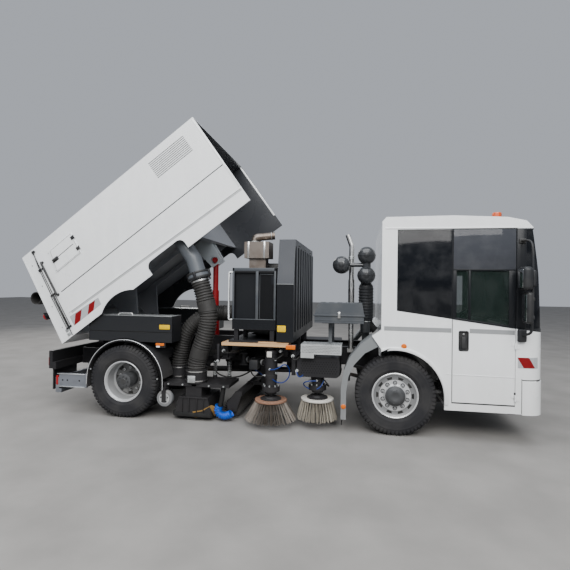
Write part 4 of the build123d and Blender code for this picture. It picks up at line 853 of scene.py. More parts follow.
class SWEEPER_OT_hoses(bpy.types.Operator):
    """Sweeps the ribbed suction and blower hoses along their runs, with their clamps"""

    bl_idname = "sweeper.hoses"
    bl_label = "Suction and blower hoses"

    def execute(self, context):
        sizes = context.scene.sweeper_sizes
        route = [at(-2.83, -1, 0.62), at(-2.83, -1, 0.7), at(-2.83, -1, 0.86), at(-2.63, -1, 1.43),
            below_ring(0.26), below_ring(0.0003)]
        suction = ribbed_hose("suction_hose_ribbed", route, sizes.hose_radius, (0.24, 0.72))
        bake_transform(dress(suction, "hose"))
        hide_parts("suction_hose")
        route = [at(-3.205, -0.735, 0.64), at(-3.205, -0.735, 0.7), at(-3.205, -0.735, 0.88),
            at(-3.11, -0.735, 1.26), at(-2.82, -0.7, 1.525), at(-2.62, -0.44, 1.525),
            at(-2.3803, -0.44, 1.525)]
        blower = ribbed_hose("blower_hose_ribbed", route, sizes.hose_radius - 0.013, (0.9,))
        finish(blower, "hose")
        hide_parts("blower_hose")
        u, v = HOSE_RING_AXIS
        way = (on_hopper(u, v, 0) - on_hopper(0, 0, 0)).normalized()
        low = below_ring(-0.004)
        finish(turned("hose_collar", [(0, 0.12), (0, 0.166), (0.016, 0.17), (0.03, 0.166), (0.034, 0.15),
            (0.07, 0.15), (0.074, 0.166), (0.088, 0.17), (0.104, 0.166), (0.104, 0.121)], low, way, 48),
            "plastic", "hopper")
        outside = low + way * 0.052
        side = Vector(LEFT).cross(way).normalized()
        bolt_centre = outside + side * 0.168
        lug = drum("collar_lug", bolt_centre - way * 0.05, bolt_centre + way * 0.05, 0.02, sides=16,
            bevel=0.003)
        finish(around("collar_lugs", lug, 4, outside, way), "black", "hopper")
        finish(turned("hose_band", band(0, 0.022, 0.137, 0.1395), low - way * 0.045, way, 48), "steel",
            "hopper")
        return {"FINISHED"}


# Brushes


def bristle_bundle(name, foot, tip, spread, strands, thickness, chance):
    """A tuft of long bristles that fan out a little towards their tips."""
    foot, tip = Vector(foot), Vector(tip)
    made = []
    for _ in range(strands):
        start = foot + Vector([chance.uniform(-0.007, 0.007) for _ in range(3)])
        end = tip + Vector([chance.uniform(-spread, spread) for _ in range(2)]
            + [chance.uniform(0, spread * 0.9)])
        made.append(drum("bristle", start, end, thickness, thickness * 0.7, sides=3))
    return joined(name, made)


def side_brush(name, node, body, ring, tips, heights, ring_finish, bristle_finish, tufts):
    """Wooden ring with steel plate and flared tufts, standing for a side brush's plain cone."""
    low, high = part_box(node)
    centre = Vector(((low.x + high.x) / 2, (low.y + high.y) / 2, 0))
    ring_z, floor_z = heights
    finish(turned(name + "_ring", [(ring_z - 0.012, ring - 0.1), (ring_z - 0.012, ring - 0.004),
        (ring_z - 0.008, ring), (ring_z + 0.01, ring), (ring_z + 0.014, ring - 0.004),
        (ring_z + 0.014, ring - 0.09), (ring_z - 0.012, ring - 0.1)], centre, UP, 64), ring_finish, body)
    hub = turned(name + "_plate", [(ring_z - 0.018, 0), (ring_z - 0.018, ring - 0.08),
        (ring_z + 0.026, ring - 0.08), (ring_z + 0.03, ring - 0.09), (ring_z + 0.034, 0.11),
        (ring_z + 0.055, 0.09), (ring_z + 0.06, 0.0293), (high.z, 0.0293), (high.z, 0)], centre, UP, 48)
    bolt = drum(name + "_bolt", centre + Vector((0.1, 0, ring_z + 0.03)),
        centre + Vector((0.1, 0, ring_z + 0.046)), 0.011, sides=6)
    finish(joined(name + "_plate", [hub, around(name + "_bolts", bolt, 6, centre, UP)]), "black", body)
    chance = Random(ring)
    rows = []
    for row, inset in enumerate((0.012, 0.042, 0.072)):
        foot = centre + Vector((ring - inset, 0, ring_z - 0.018))
        reach = tips - inset * 1.2 - 0.02
        variants = []
        for number in range(3):
            tip = centre + Vector((reach - chance.uniform(0, 0.03), chance.uniform(-0.02, 0.02), floor_z))
            tuft = bristle_bundle(f"{name}_tuft_{row}_{number}", foot, tip, 0.01, 7, 0.003, chance)
            variants.append(around(f"{name}_tufts_{row}_{number}", tuft, tufts // 3, centre, UP,
                2 * pi * (number + row / 2) / tufts))
        rows += variants
    bristles = joined(name + "_bristles", rows)
    finish(bristles, bristle_finish, body)
    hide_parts(node)


class SWEEPER_OT_brushes(bpy.types.Operator):
    """Builds the bristles of the two side brushes and the roller brush"""

    bl_idname = "sweeper.brushes"
    bl_label = "Brushes"

    def execute(self, context):
        side_brush("rear_brush", "side_brush_rear", "brush_rear", 0.228, 0.418, (0.35, 0.09), "brush_wood",
            "bristle_steel", 36)
        side_brush("front_brush", "side_brush_front", "brush_front", 0.228, 0.338, (0.38, 0.11),
            "brush_white", "bristle_pale", 33)
        low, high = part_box("roller_brush")
        middle = (low + high) / 2
        radius = (high.z - low.z) / 2
        core = turned("roller_core", [(-0.985, 0), (-0.985, 0.02), (-0.93, 0.02), (-0.93, 0.062),
            (0.93, 0.062), (0.93, 0.02), (0.985, 0.02), (0.985, 0)], middle, LEFT, 32)
        chance = Random(7)
        rows = []
        for step in range(46):
            across = -0.915 + step * 0.0406
            foot = middle + Vector((0.058, across, 0))
            tip = middle + Vector((radius - 0.004, across + 0.008, 0))
            tuft = joined("roller_tuft", [drum("roller_strand", foot, tip + Vector((0, move, move)), 0.004,
                0.003, sides=3) for move in (-0.014, 0, 0.012)])
            rows.append(around("roller_row", tuft, 22, middle, LEFT, step * 0.11 + chance.uniform(0, 0.05)))
        roller = joined("roller_bristles", rows)
        finish(core, "black", "roller")
        finish(roller, "bristle_dark", "roller")
        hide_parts("roller_brush")
        return {"FINISHED"}


# Cab

CAB_SIDE = 1.24
ROOF_EDGE = 2.718


def sill_z(x):
    """Height of the glazed band's lower edge at x, on the truck."""
    return SILL - SILL_SLOPE * x


def on_side(name, outline, depth, inner=CAB_SIDE, bevel=0.0):
    """A plate on the right side, its outline given in X and Z, standing this far out of a face at inner."""
    points = [at(x, -inner + 0.001, z) for x, z in outline]
    return plate(name, points, (0, -depth - 0.001, 0), bevel)


def oblong(x_low, x_high, z_low, z_high):
    """A rectangle's outline."""
    return [(x_low, z_low), (x_low, z_high), (x_high, z_high), (x_high, z_low)]


def rounded(low, high, radius):
    """A rectangle's outline with round corners."""
    steps = 4
    points = []
    corners = ((high[0], high[1], 0), (low[0], high[1], 1), (low[0], low[1], 2), (high[0], low[1], 3))
    for x, z, quarter in corners:
        centre_x = x - radius if x == high[0] else x + radius
        centre_z = z - radius if z == high[1] else z + radius
        for step in range(steps + 1):
            angle = (quarter + step / steps) * pi / 2
            points.append((centre_x + radius * cos(angle), centre_z + radius * sin(angle)))
    return points


class SWEEPER_OT_cab_outside(bpy.types.Operator):
    """Adds the cab's side panes, stripes, gutters, wheel arch lips, side markers and beacon"""

    bl_idname = "sweeper.cab_outside"
    bl_label = "Cab outside"

    def execute(self, context):
        finish_pair(on_side("rear_side_pane", [(0.008, sill_z(0.008) + 0.004), (0.008, ROOF_EDGE - 0.004),
            (0.684, ROOF_EDGE - 0.004), (0.684, sill_z(0.684) + 0.004)], 0.004, bevel=0.002), "dark_glass")
        finish_pair(on_side("front_pillar", [(1.455, sill_z(1.455) + 0.004), (1.455, ROOF_EDGE - 0.004),
            (1.556, ROOF_EDGE - 0.004), (1.556, sill_z(1.556) + 0.004)], 0.004, bevel=0.002), "gloss_black")
        finish_pair(on_side("side_stripe", [(-0.155, 1.395), (-0.155, 1.452), (0.684, 1.448),
            (0.684, 1.391)], 0.0015), "stripe")
        finish_pair(on_side("roof_gutter", [(-0.15, 2.742), (-0.15, 2.728), (1.46, 2.722), (1.46, 2.736)],
            0.007, bevel=0.003), "white")
        finish_pair(arch_lip(), "white")
        finish_pair(on_side("skirt_crease", oblong(0.63, 0.684, 0.866, 0.856), 0.004, bevel=0.002), "white")
        marker_place = at(0.099, -CAB_SIDE, 1.196)
        finish_pair(turned("side_marker", [(0, 0.034), (0.006, 0.036), (0.009, 0.034), (0.012, 0.026),
            (0.014, 0)], marker_place, RIGHT, 32), "amber")
        beacon_low = node_middle("beacon")
        beacon_low.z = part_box("beacon")[0].z
        finish(turned("beacon_base", [(0, 0), (0, 0.0675), (0.028, 0.0675), (0.034, 0.062), (0.034, 0)],
            beacon_low, UP, 40), "plastic")
        dome_rows = [(0.034, 0), (0.034, 0.06)]
        for step in range(7):
            height = 0.036 + step * 0.0085
            dome_rows += [(height, 0.06), (height + 0.004, 0.0575)]
        dome_rows += [(0.1, 0.056), (0.106, 0.045), (0.1095, 0.025), (0.1098, 0)]
        dome = turned("beacon_dome", dome_rows, beacon_low, UP, 40)
        finish(dome, "beacon")
        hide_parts("beacon")
        return {"FINISHED"}


def arch_lip():
    """Raised lip round the front wheel arch."""
    angles = [radians(value) for value in range(-6, 124, 6)]
    outline = [(max(radius * cos(angle), -0.186), WHEEL_Z + radius * sin(angle))
        for radius, turn in ((0.654, angles), (0.612, angles[::-1])) for angle in turn]
    return on_side("arch_lip", outline, 0.012, bevel=0.005)


class SWEEPER_OT_doors(bpy.types.Operator):
    """Adds the doors' window bands, divider, stripes, handles, creases and seals"""

    bl_idname = "sweeper.doors"
    bl_label = "Doors"

    def execute(self, context):
        for side, sign in SIDES:
            def ride(piece, key):
                if sign > 0:
                    piece.data.transform(Matrix.Scale(-1, 4, LEFT))
                    piece.data.flip_normals()
                piece.name += "_" + side
                return finish(piece, key, "door_" + side)

            low, high = 0.702, 1.44
            ride(on_side("window_band", oblong(low, high, 2.205, ROOF_EDGE - 0.006), 0.0035, bevel=0.0015),
                "band_glass")
            bars = [on_side("band_rail", oblong(low, high, 2.185, 2.205), 0.006, bevel=0.002)]
            uprights = (("divider", 0.885, 0.912), ("front_stile", 1.362, high), ("rear_stile", low, 0.742))
            for name, x_low, x_high in uprights:
                outline = [(x_low, sill_z(x_low)), (x_low, 2.19), (x_high, 2.19), (x_high, sill_z(x_high))]
                bars.append(on_side(name, outline, 0.006, bevel=0.002))
            outline = [(low, sill_z(low)), (low, sill_z(low) + 0.022), (high, sill_z(high) + 0.022),
                (high, sill_z(high))]
            bars.append(on_side("sill_seal", outline, 0.007, bevel=0.002))
            ride(joined("window_frame", bars), "gloss_black")
            ride(on_side("stripe", [(0.905, 1.392), (0.905, 1.449), (1.437, 1.442), (1.437, 1.385)],
                0.0015), "stripe")
            ride(on_side("crease", [(low, 0.853), (low, 0.863), (high, 0.857), (high, 0.847)], 0.004,
                bevel=0.0018), "white")
            rim = on_side("handle_rim", rounded((0.77, 1.159), (0.896, 1.42), 0.026), 0.004, bevel=0.002)
            opening = rounded((0.785, 1.174), (0.881, 1.405), 0.018)
            modify_cut(rim, on_side("cut", opening, 0.05, CAB_SIDE - 0.02))
            cup = on_side("handle_cup", rounded((0.776, 1.165), (0.89, 1.414), 0.022), 0.003,
                CAB_SIDE - 0.012)
            lever = on_side("handle_lever", rounded((0.806, 1.19), (0.86, 1.345), 0.014), 0.015,
                CAB_SIDE - 0.009, 0.004)
            ride(joined("handle", [rim, cup, lever]), "plastic")
            lock_place = at(0.833, -CAB_SIDE + 0.009, 1.376)
            ride(drum("lock", lock_place, lock_place - Vector((0, 0.008, 0)), 0.013, 0.012, 24, 0.001),
                "steel")
            ride(joined("edge_seal", [
                on_side("seal", oblong(0.6975, 0.701, 0.502, sill_z(0.69)), 0.001),
                on_side("seal", oblong(0.6975, 1.4405, 0.501, 0.507), 0.001),
            ]), "rubber")
        return {"FINISHED"}


def modify_cut(piece, tool):
    """Cuts the tool's form from the piece."""
    modify(piece, "BOOLEAN", object=tool, operation="DIFFERENCE", solver="EXACT")
    bpy.data.objects.remove(tool)
    return piece


class SWEEPER_OT_cab_front(bpy.types.Operator):
    """Adds the front's grilles, headlamps, wipers, windscreen header and roof lamps"""

    bl_idname = "sweeper.cab_front"
    bl_label = "Cab front"

    def execute(self, context):
        bar = block("grille_bar", at(1.773, -0.518, 0.883), at(1.781, 0.518, 0.898), 0.002)
        finish(along("grille_bars", bar, [(0, 0, 0.042 * step) for step in range(6)]), "plastic")
        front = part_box("front_bumper")[1].x
        units = []
        lenses = []
        bowls = []
        for y in (-0.85, 0.85):
            units.append(block("lamp_case", (front - 0.027, y - 0.148, 0.542),
                (front - 0.022, y + 0.148, 0.698), 0.002))
            for offset, radius in ((-0.075, 0.058), (0.075, 0.058)):
                centre = Vector((front - 0.022, y + offset, 0.622))
                bowls.append(turned("lamp_bowl", [(0, 0), (0.001, 0.02), (0.004, 0.03),
                    (0.012, radius * 0.85), (0.016, radius), (0.012, radius + 0.004), (0, radius + 0.006)],
                    centre, AHEAD, 32))
                lenses.append(turned("lamp_bulb", [(0.001, 0), (0.001, 0.012), (0.01, 0.011), (0.013, 0)],
                    centre, AHEAD, 20))
            lenses.append(block("lamp_cover", (front - 0.006, y - 0.146, 0.544),
                (front - 0.003, y + 0.146, 0.696), 0.001))
        finish(joined("headlamp_cases", units), "plastic")
        finish(joined("headlamp_bowls", bowls), "chrome")
        finish(joined("headlamp_lenses", lenses), "clear_glass")
        low_panel = block("lower_grille", (front - 0.004, -0.52, 0.47), (front - 0.0005, 0.52, 0.6), 0.0015)
        # Black slots across the lower grille: painted shade in its openings
        slots = along("lower_slots", block("slot", (front - 0.004, -0.5, 0.482),
            (front - 0.0002, 0.5, 0.49), 0.001), [(0, 0, 0.022 * step) for step in range(5)])
        finish(low_panel, "plastic")
        finish(slots, "mesh")
        wipers = []
        for y in (-0.62, 0.28):
            spindle = at(1.772, y, 1.452)
            end = at(1.752, y + 0.52, 1.76)
            blade_low = at(1.762, y + 0.3, 1.6)
            blade_high = at(1.738, y + 0.76, 1.9)
            wipers += [
                drum("wiper_spindle", spindle - Vector((0.02, 0, 0)), spindle + Vector((0.012, 0, 0)),
                    0.018, sides=20),
                drum("wiper_arm", spindle, end, 0.009, 0.006, 12),
                drum("wiper_blade", blade_low, blade_high, 0.007, 0.007, 8),
            ]
        finish(joined("wipers", wipers), "plastic")
        finish(block("windscreen_header", at(1.6, -0.9, 2.7), at(1.648, 0.9, 2.715), 0.003), "gloss_black")
        finish(joined("roof_markers", [block("roof_marker", at(1.555, y - 0.05, 2.808),
            at(1.6, y + 0.05, 2.822), 0.006) for y in (-0.9, -0.3, 0.3, 0.9)]), "amber")
        return {"FINISHED"}


# Mirrors, the cab's rounded corners, wheel faces and the seats


def wrapped(name, x_range, z_range, lean, node, thickness):
    """A thin patch laid on the cab's side and round its front corner; its upper edge leans back by lean."""
    deselect()
    low, high = at(x_range[0], 0, z_range[0]), at(x_range[1], 0, z_range[1])
    bpy.ops.mesh.primitive_grid_add(x_subdivisions=28, y_subdivisions=3, size=1)
    piece = bpy.context.object
    settle(piece, name)
    piece.data.transform(Matrix.Rotation(pi / 2, 4, "X"))
    piece.data.transform(Matrix.Diagonal((high.x - low.x, 1, high.z - low.z, 1)))
    slope = Matrix.Identity(4)
    slope[0][2] = -lean / (high.z - low.z)
    piece.data.transform(slope)
    middle = (low + high) / 2
    piece.data.transform(Matrix.Translation((middle.x, -1.6, middle.z)))
    modify(piece, "SHRINKWRAP", target=bpy.data.objects[node], wrap_method="PROJECT", use_project_y=True,
        use_positive_direction=True, use_negative_direction=False, offset=-0.0005)
    modify(piece, "SOLIDIFY", thickness=thickness + 0.001, offset=1.0)
    outward(piece)
    if piece.data.vertices and min(v.co.y for v in piece.data.vertices) > -1.19:
        piece.data.flip_normals()
    return smooth(piece)


class SWEEPER_OT_corners(bpy.types.Operator):
    """Adds the reflective patches, seams and small black hinges at the cab's front corners"""

    bl_idname = "sweeper.corners"
    bl_label = "Cab corners"

    def execute(self, context):
        finish_pair(wrapped("corner_patch", (1.474, 1.716), (0.974, 1.108), 0, "cab_shell", 0.0012),
            "silver_film")
        finish_pair(wrapped("corner_patch_red", (1.505, 1.64), (0.976, 1.106), 0.075, "cab_shell", 0.0026),
            "red_film")
        finish_pair(wrapped("bumper_gap", (1.528, 1.765), (0.817, 0.829), 0, "cab_shell", 0.0008), "rubber")
        finish_pair(on_side("bumper_seam", oblong(1.519, 1.526, 0.405, 0.84), 0.0008), "rubber")
        finish_pair(on_side("lower_hinge_cover", rounded((1.431, 0.57), (1.451, 0.668), 0.006), 0.01,
            bevel=0.002), "plastic")
        finish_pair(on_side("door_bottom_gap", oblong(0.692, 1.446, 0.49, 0.5015), 0.0008), "rubber")
        return {"FINISHED"}


class SWEEPER_OT_mirrors(bpy.types.Operator):
    """Builds the rounded mirror heads on their bent arms"""

    bl_idname = "sweeper.mirrors"
    bl_label = "Mirrors"

    def execute(self, context):
        y = 1.44
        heads = [
            block("mirror_head", at(1.425, -y - 0.109, 1.945), at(1.545, -y + 0.109, 2.232), 0.05, 6),
            block("mirror_small_head", at(1.472, -y - 0.1, 1.545), at(1.545, -y + 0.1, 1.925), 0.034, 5),
            block("mirror_visor", at(1.535, -y - 0.08, 1.99), at(1.58, -y + 0.08, 2.19), 0.02, 4),
        ]
        route = [at(1.5, -1.256, 2.56), at(1.54, -1.33, 2.56), at(1.558, -y + 0.02, 2.54),
            at(1.565, -y, 2.44), at(1.565, -y, 1.95), at(1.565, -y, 1.5), at(1.56, -y + 0.02, 1.42),
            at(1.53, -1.33, 1.4), at(1.505, -1.285, 1.388)]
        heads.append(tube("mirror_arm", route, 0.0155, 8, order=4))
        pod = block("mirror_foot", at(1.458, -1.299, 1.302), at(1.56, -1.241, 1.462), 0.022, 4)
        top = block("mirror_top_foot", at(1.47, -1.262, 2.53), at(1.55, -1.2405, 2.59), 0.008, 3)
        for z in (1.62, 1.84, 2.02, 2.15):
            heads.append(drum("arm_clamp", at(1.565, -y, z - 0.022), at(1.565, -y, z + 0.022), 0.024,
                sides=20, bevel=0.004))
        whole = joined("mirror_set", heads + [pod, top])
        finish_pair(whole, "plastic")
        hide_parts("mirrors")
        finish_pair(joined("mirror_faces", [
            block("mirror_face", at(1.4235, -y - 0.085, 1.975), at(1.4265, -y + 0.085, 2.2), 0.001),
            block("mirror_small_face", at(1.4705, -y - 0.078, 1.575), at(1.4735, -y + 0.078, 1.895), 0.001),
        ]), "mirror")
        return {"FINISHED"}


def hand_hole(name, centre, depth, arcs):
    """A dark plate of painted shade that stands for a rim's hand hole, between two arcs given as (radius,
    angles in degrees).
    """
    outline = [centre + Vector((radius * sin(radians(angle)), 0, radius * cos(radians(angle))))
        for radius, angles in arcs for angle in angles]
    return plate(name, outline, depth)


class SWEEPER_OT_wheel_faces(bpy.types.Operator):
    """Adds the front rims' dished rings and painted shadows round their nuts, and both axles' bright lips,
    hand holes of painted shade and bolts
    """

    bl_idname = "sweeper.wheel_faces"
    bl_label = "Wheel faces"

    def execute(self, context):
        for side, sign in SIDES:
            hub = node_middle("tyre_front_" + side)
            out = Vector((0, sign, 0))
            finish(turned("front_dish_" + side, [(0.1, 0.206), (0.1135, 0.206), (0.1135, 0.25),
                (0.1235, 0.2685), (0.1288, 0.281), (0.1, 0.262), (0.1, 0.206)], hub, out, 56),
                "dull_silver", "wheel_front_" + side)
            finish(ring("front_lip_" + side, hub + out * 0.1285, out, LIP_RADIUS, LIP_THICKNESS, 64, 8),
                "bright_silver", "wheel_front_" + side)
            hole = hand_hole("front_hand_hole", hub + out * 0.1128, out * 0.0012,
                ((0.246, range(-9, 10, 3)), (0.214, range(7, -8, -2))))
            finish(around("front_hand_holes_" + side, hole, 10, hub, LEFT, pi / 10), "rubber",
                "wheel_front_" + side)
            # Dark discs under the front nuts: a painted shadow round each nut
            seat = hub + out * 0.1118 + Vector((0, 0, NUT_CIRCLE))
            shadow = drum("nut_seat", seat, seat + out * 0.003, 0.0295, 0.028, 24)
            finish(around("front_nut_seats_" + side, shadow, 10, hub, LEFT), "hub", "wheel_front_" + side)
            bolt = hub + out * 0.186 + Vector((0, 0, 0.088))
            cap_bolt = drum("cap_bolt", bolt - out * 0.004, bolt + out * 0.01, 0.011, sides=6)
            finish(around("front_cap_bolts_" + side, cap_bolt, 8, hub, LEFT, 0.2), "hub",
                "wheel_front_" + side)
            rear = node_middle("tyres_rear_" + side)
            face = REAR_RIM_PLANE - abs(rear.y)
            lip_centre = rear + out * (face + 0.1275)
            finish(ring("rear_lip_" + side, lip_centre, out, LIP_RADIUS, LIP_THICKNESS, 64, 8),
                "bright_silver", "wheels_rear_" + side)
            hole = hand_hole("rear_hand_hole", rear + out * (face - 0.0955), out * 0.003,
                ((0.232, range(-10, 11, 4)), (0.196, range(9, -10, -3))))
            finish(around("rear_hand_holes_" + side, hole, 8, rear, LEFT), "rubber", "wheels_rear_" + side)
            finish(turned("rear_hub_face_" + side, [(face + 0.12, 0), (face + 0.127, 0),
                (face + 0.127, 0.04), (face + 0.122, 0.046)], rear, out, 40), "cast", "wheels_rear_" + side)
        return {"FINISHED"}


def pad_block(name, low, high, lean=0.0):
    """A rounded block for a cushion, its top set back by lean."""
    piece = block(name, low, high, min(high[i] - low[i] for i in range(3)) * 0.22, 3)
    slope = Matrix.Identity(4)
    slope[0][2] = -lean / (high[2] - low[2])
    base = Matrix.Translation((0, 0, low[2]))
    piece.data.transform(base @ slope @ base.inverted())
    return piece


def swell(piece, cap):
    """Fills a cushion out with Blender's cloth, and keeps each point within cap of where it was."""
    modify(piece, "REMESH", mode="VOXEL", voxel_size=0.008)
    before = [vertex.co.copy() for vertex in piece.data.vertices]
    scene = bpy.context.scene
    choose(piece)
    cloth = piece.modifiers.new("cloth", "CLOTH")
    cloth.settings.use_pressure = True
    cloth.settings.uniform_pressure_force = 4.0
    cloth.settings.effector_weights.gravity = 0.0
    cloth.point_cache.frame_start = 1
    cloth.point_cache.frame_end = 20
    for number in range(1, 21):
        scene.frame_set(number)
    bpy.ops.object.modifier_apply(modifier=cloth.name)
    scene.frame_set(1)
    for vertex, start in zip(piece.data.vertices, before):
        way = vertex.co - start
        if way.length > cap:
            vertex.co = start + way * (cap / way.length)
    return smooth(outward(piece), 60)


class SWEEPER_OT_seats(bpy.types.Operator):
    """Builds the two padded seats with their bolsters, head rests, shells and posts"""

    bl_idname = "sweeper.seats"
    bl_label = "Seats"

    def execute(self, context):
        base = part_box("cab_seats")[0].z
        first = True
        for side, sign in SIDES:
            y = 0.72 * sign
            pads = {
                "cushion": pad_block("cushion", at(0.53, y - 0.15, base + 0.012),
                    at(0.95, y + 0.15, base + 0.118)),
                "back": pad_block("back", at(0.452, y - 0.14, base + 0.1), at(0.506, y + 0.14, base + 0.56),
                    0.062),
                "head_rest": pad_block("head", at(0.345, y - 0.12, base + 0.625),
                    at(0.408, y + 0.12, base + 0.785), 0.02),
            }
            for name, move in (("inner", 0.178), ("outer", -0.178)):
                pads["bolster_" + name] = pad_block("bolster", at(0.525, y + move - 0.028, base + 0.012),
                    at(0.955, y + move + 0.028, base + 0.13))
                pads["wing_" + name] = pad_block("wing", at(0.462, y + move - 0.026, base + 0.11),
                    at(0.535, y + move + 0.026, base + 0.52), 0.056)
            for name, pad in pads.items():
                pad = swell(pad, 0.009)
                pad.name = f"seat_{name}_{side}"
                finish(pad, "cloth")
                if first:
                    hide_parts("cab_seats")
                    first = False
            posts = [drum("head_post", at(0.395, y + move, base + 0.545), at(0.38, y + move, base + 0.65),
                0.006, sides=12) for move in (-0.06, 0.06)]
            shell = block("seat_shell", at(0.448, y - 0.19, base + 0.09), at(0.462, y + 0.19, base + 0.55),
                0.005)
            slope = Matrix.Identity(4)
            slope[0][2] = -0.135
            origin = Matrix.Translation((0, 0, base + 0.09))
            shell.data.transform(origin @ slope @ origin.inverted())
            shell.data.transform(Matrix.Translation((0.002, 0, 0)))
            hinge = drum("recliner", at(0.5, y - 0.205, base + 0.055), at(0.5, y + 0.205, base + 0.055),
                0.036, sides=28, bevel=0.004)
            finish(joined("seat_frame_" + side, [shell, hinge] + posts), "plastic")
        return {"FINISHED"}


# Hopper


def on_hopper_side(name, outline, depth, inner=HOPPER_SIDE, bevel=0.0):
    """A plate on the hopper's right side, its outline given in U and V."""
    points = [(u, -inner + 0.001, v) for u, v in outline]
    return tipped(plate(name, points, (0, -depth - 0.001, 0), bevel))


def hopper_block(name, low, high, bevel=0.0):
    """A block drawn in the hopper's own frame."""
    return tipped(block(name, low, high, bevel))


TAILGATE_LEAN = 0.186 / 1.454


def seam_u(v):
    """U of the tailgate's seam at a height."""
    return 0.23 + 0.1135 * v


class SWEEPER_OT_hopper_side(bpy.types.Operator):
    """Adds the hopper's hatch fittings, vent fins, grab rail, painted shadow in its grooves and painted
    shade under its fold, patches and roof ribs
    """

    bl_idname = "sweeper.hopper_side"
    bl_label = "Hopper sides"

    def execute(self, context):
        out = HOPPER_SIDE + 0.012
        hinges = []
        for u, v in ((1.064, 1.1945), (1.05, 1.0095)):
            hinges.append(hopper_block("hatch_hinge", (u - 0.033, -out - 0.011, v - 0.025),
                (u + 0.021, -out - 0.001, v + 0.025), 0.004))
            hinges.append(drum("hatch_pin", on_hopper(u + 0.021, v - 0.028, -out - 0.006),
                on_hopper(u + 0.024, v + 0.028, -out - 0.006), 0.007, sides=12))
        seat = hopper_block("latch_seat", (0.585, -out - 0.004, 1.062), (0.7, -out + 0.001, 1.125), 0.004)
        paddle = hopper_block("latch_paddle", (0.598, -out - 0.027, 1.078), (0.676, -out - 0.004, 1.112),
            0.006)
        finish(joined("hatch_hinges", hinges), "plastic", "hopper")
        finish(joined("hatch_latch", [seat, paddle]), "plastic", "hopper")
        seam = [(0.64, 1.252), (1.066, 1.2625), (1.036, 0.942), (0.561, 0.936)]
        inner = [(0.644, 1.248), (1.0618, 1.2583), (1.0322, 0.946), (0.5655, 0.94)]
        border = on_hopper_side("hatch_seam", seam, 0.0006, out - 0.0005)
        modify_cut(border, on_hopper_side("cut", inner, 0.02, out - 0.01))
        finish(border, "rubber", "hopper")
        fins = []
        for row in range(10):
            top = 1.35 - 0.028 * row
            fin = block("fin", (2.656, -HOPPER_SIDE + 0.0005, top - 0.0138),
                (2.66, -HOPPER_SIDE + 0.013, top - 0.0002))
            fins.append(along("fins", fin, [(0.0135 * step, 0, 0) for step in range(48)]))
        finish_pair(tipped(joined("vent_fins", fins)), "stripe", "hopper")
        # The dark strip in each side's groove: painted shadow that deepens the groove
        finish_pair(on_hopper_side("groove_strip", oblong(0.434, 3.563, 0.6385, 0.6515), 0.002,
            HOPPER_SIDE - 0.0075), "hub", "hopper")
        finish_pair(on_hopper_side("fold_shade", [(0.4, 0.281), (0.4, 0.312), (3.544, 0.2142),
            (3.544, 0.184)], 0.0012), "fold_shade", "hopper")
        route = [(0.43, 1.19, 0), (0.43, 1.19, 0.038), (0.372, 0.64, 0.038), (0.372, 0.64, 0)]
        finish(grab_rail(route), "plastic", "hopper")
        finish_pair(on_hopper_side("rear_patch", [(0.318, 0.108), (0.336, 0.262), (0.884, 0.225),
            (0.868, 0.117)], 0.0012), "silver_film", "hopper")
        reds = (
            [(0.325, 0.1085), (0.441, 0.243), (0.563, 0.2365), (0.447, 0.1105)],
            [(0.596, 0.1125), (0.705, 0.229), (0.82, 0.224), (0.717, 0.1145)],
        )
        finish_pair(joined("rear_patch_red", [on_hopper_side("red", outline, 0.0022) for outline in reds]),
            "red_film", "hopper")
        bars = []
        for step in range(4):
            y = -0.9 + 0.6 * step
            bars.append(hopper_block("roof_rib", (0.62, y - 0.04, 1.4552), (3.2, y + 0.04, 1.4605), 0.002))
        finish(joined("roof_ribs", bars), "white", "hopper")
        # A dark line across the hatch: painted shade in its groove
        finish(on_hopper_side("hatch_groove", [(0.69, 1.097), (0.69, 1.108), (1.01, 1.117), (1.018, 1.106)],
            0.0007, out - 0.0005), "rubber", "hopper")
        finish(joined("front_rims", [hopper_block("front_rim", (3.528, y, 0.25), (3.5585, y + 0.0355, 1.45),
            0.001) for y in (1.2165, -1.252)]), "white", "hopper")
        screws = []
        for u, v in ((0.6, 1.243), (0.556, 0.952), (0.8, 1.256), (0.8, 0.938), (0.93, 1.259), (0.93, 0.94)):
            place = on_hopper(u, v, -out)
            screws.append(drum("screw", place, place - Vector((0, 0.003, 0)), 0.008, 0.006, 12))
        finish(joined("hatch_screws", screws), "zinc", "hopper")
        return {"FINISHED"}


def grab_rail(route):
    """Rubber sleeve on the grab rail beside the tailgate's seam, with a foot at each end."""
    points = [on_hopper(u, v, -HOPPER_SIDE - out) for u, v, out in route]
    near = [points[0], points[0].lerp(points[1], 0.5), points[1], points[1].lerp(points[2], 0.1)]
    near += [points[1].lerp(points[2], 0.9), points[2], points[2].lerp(points[3], 0.5), points[3]]
    sleeve = tube("grab_rail_sleeve", near, 0.0155, 8)
    feet = [drum("rail_foot", point + Vector((0, 0.001, 0)), point - Vector((0, 0.006, 0)), 0.022, 0.02, 20)
        for point in (points[0], points[3])]
    return joined("grab_rail", [sleeve] + feet)


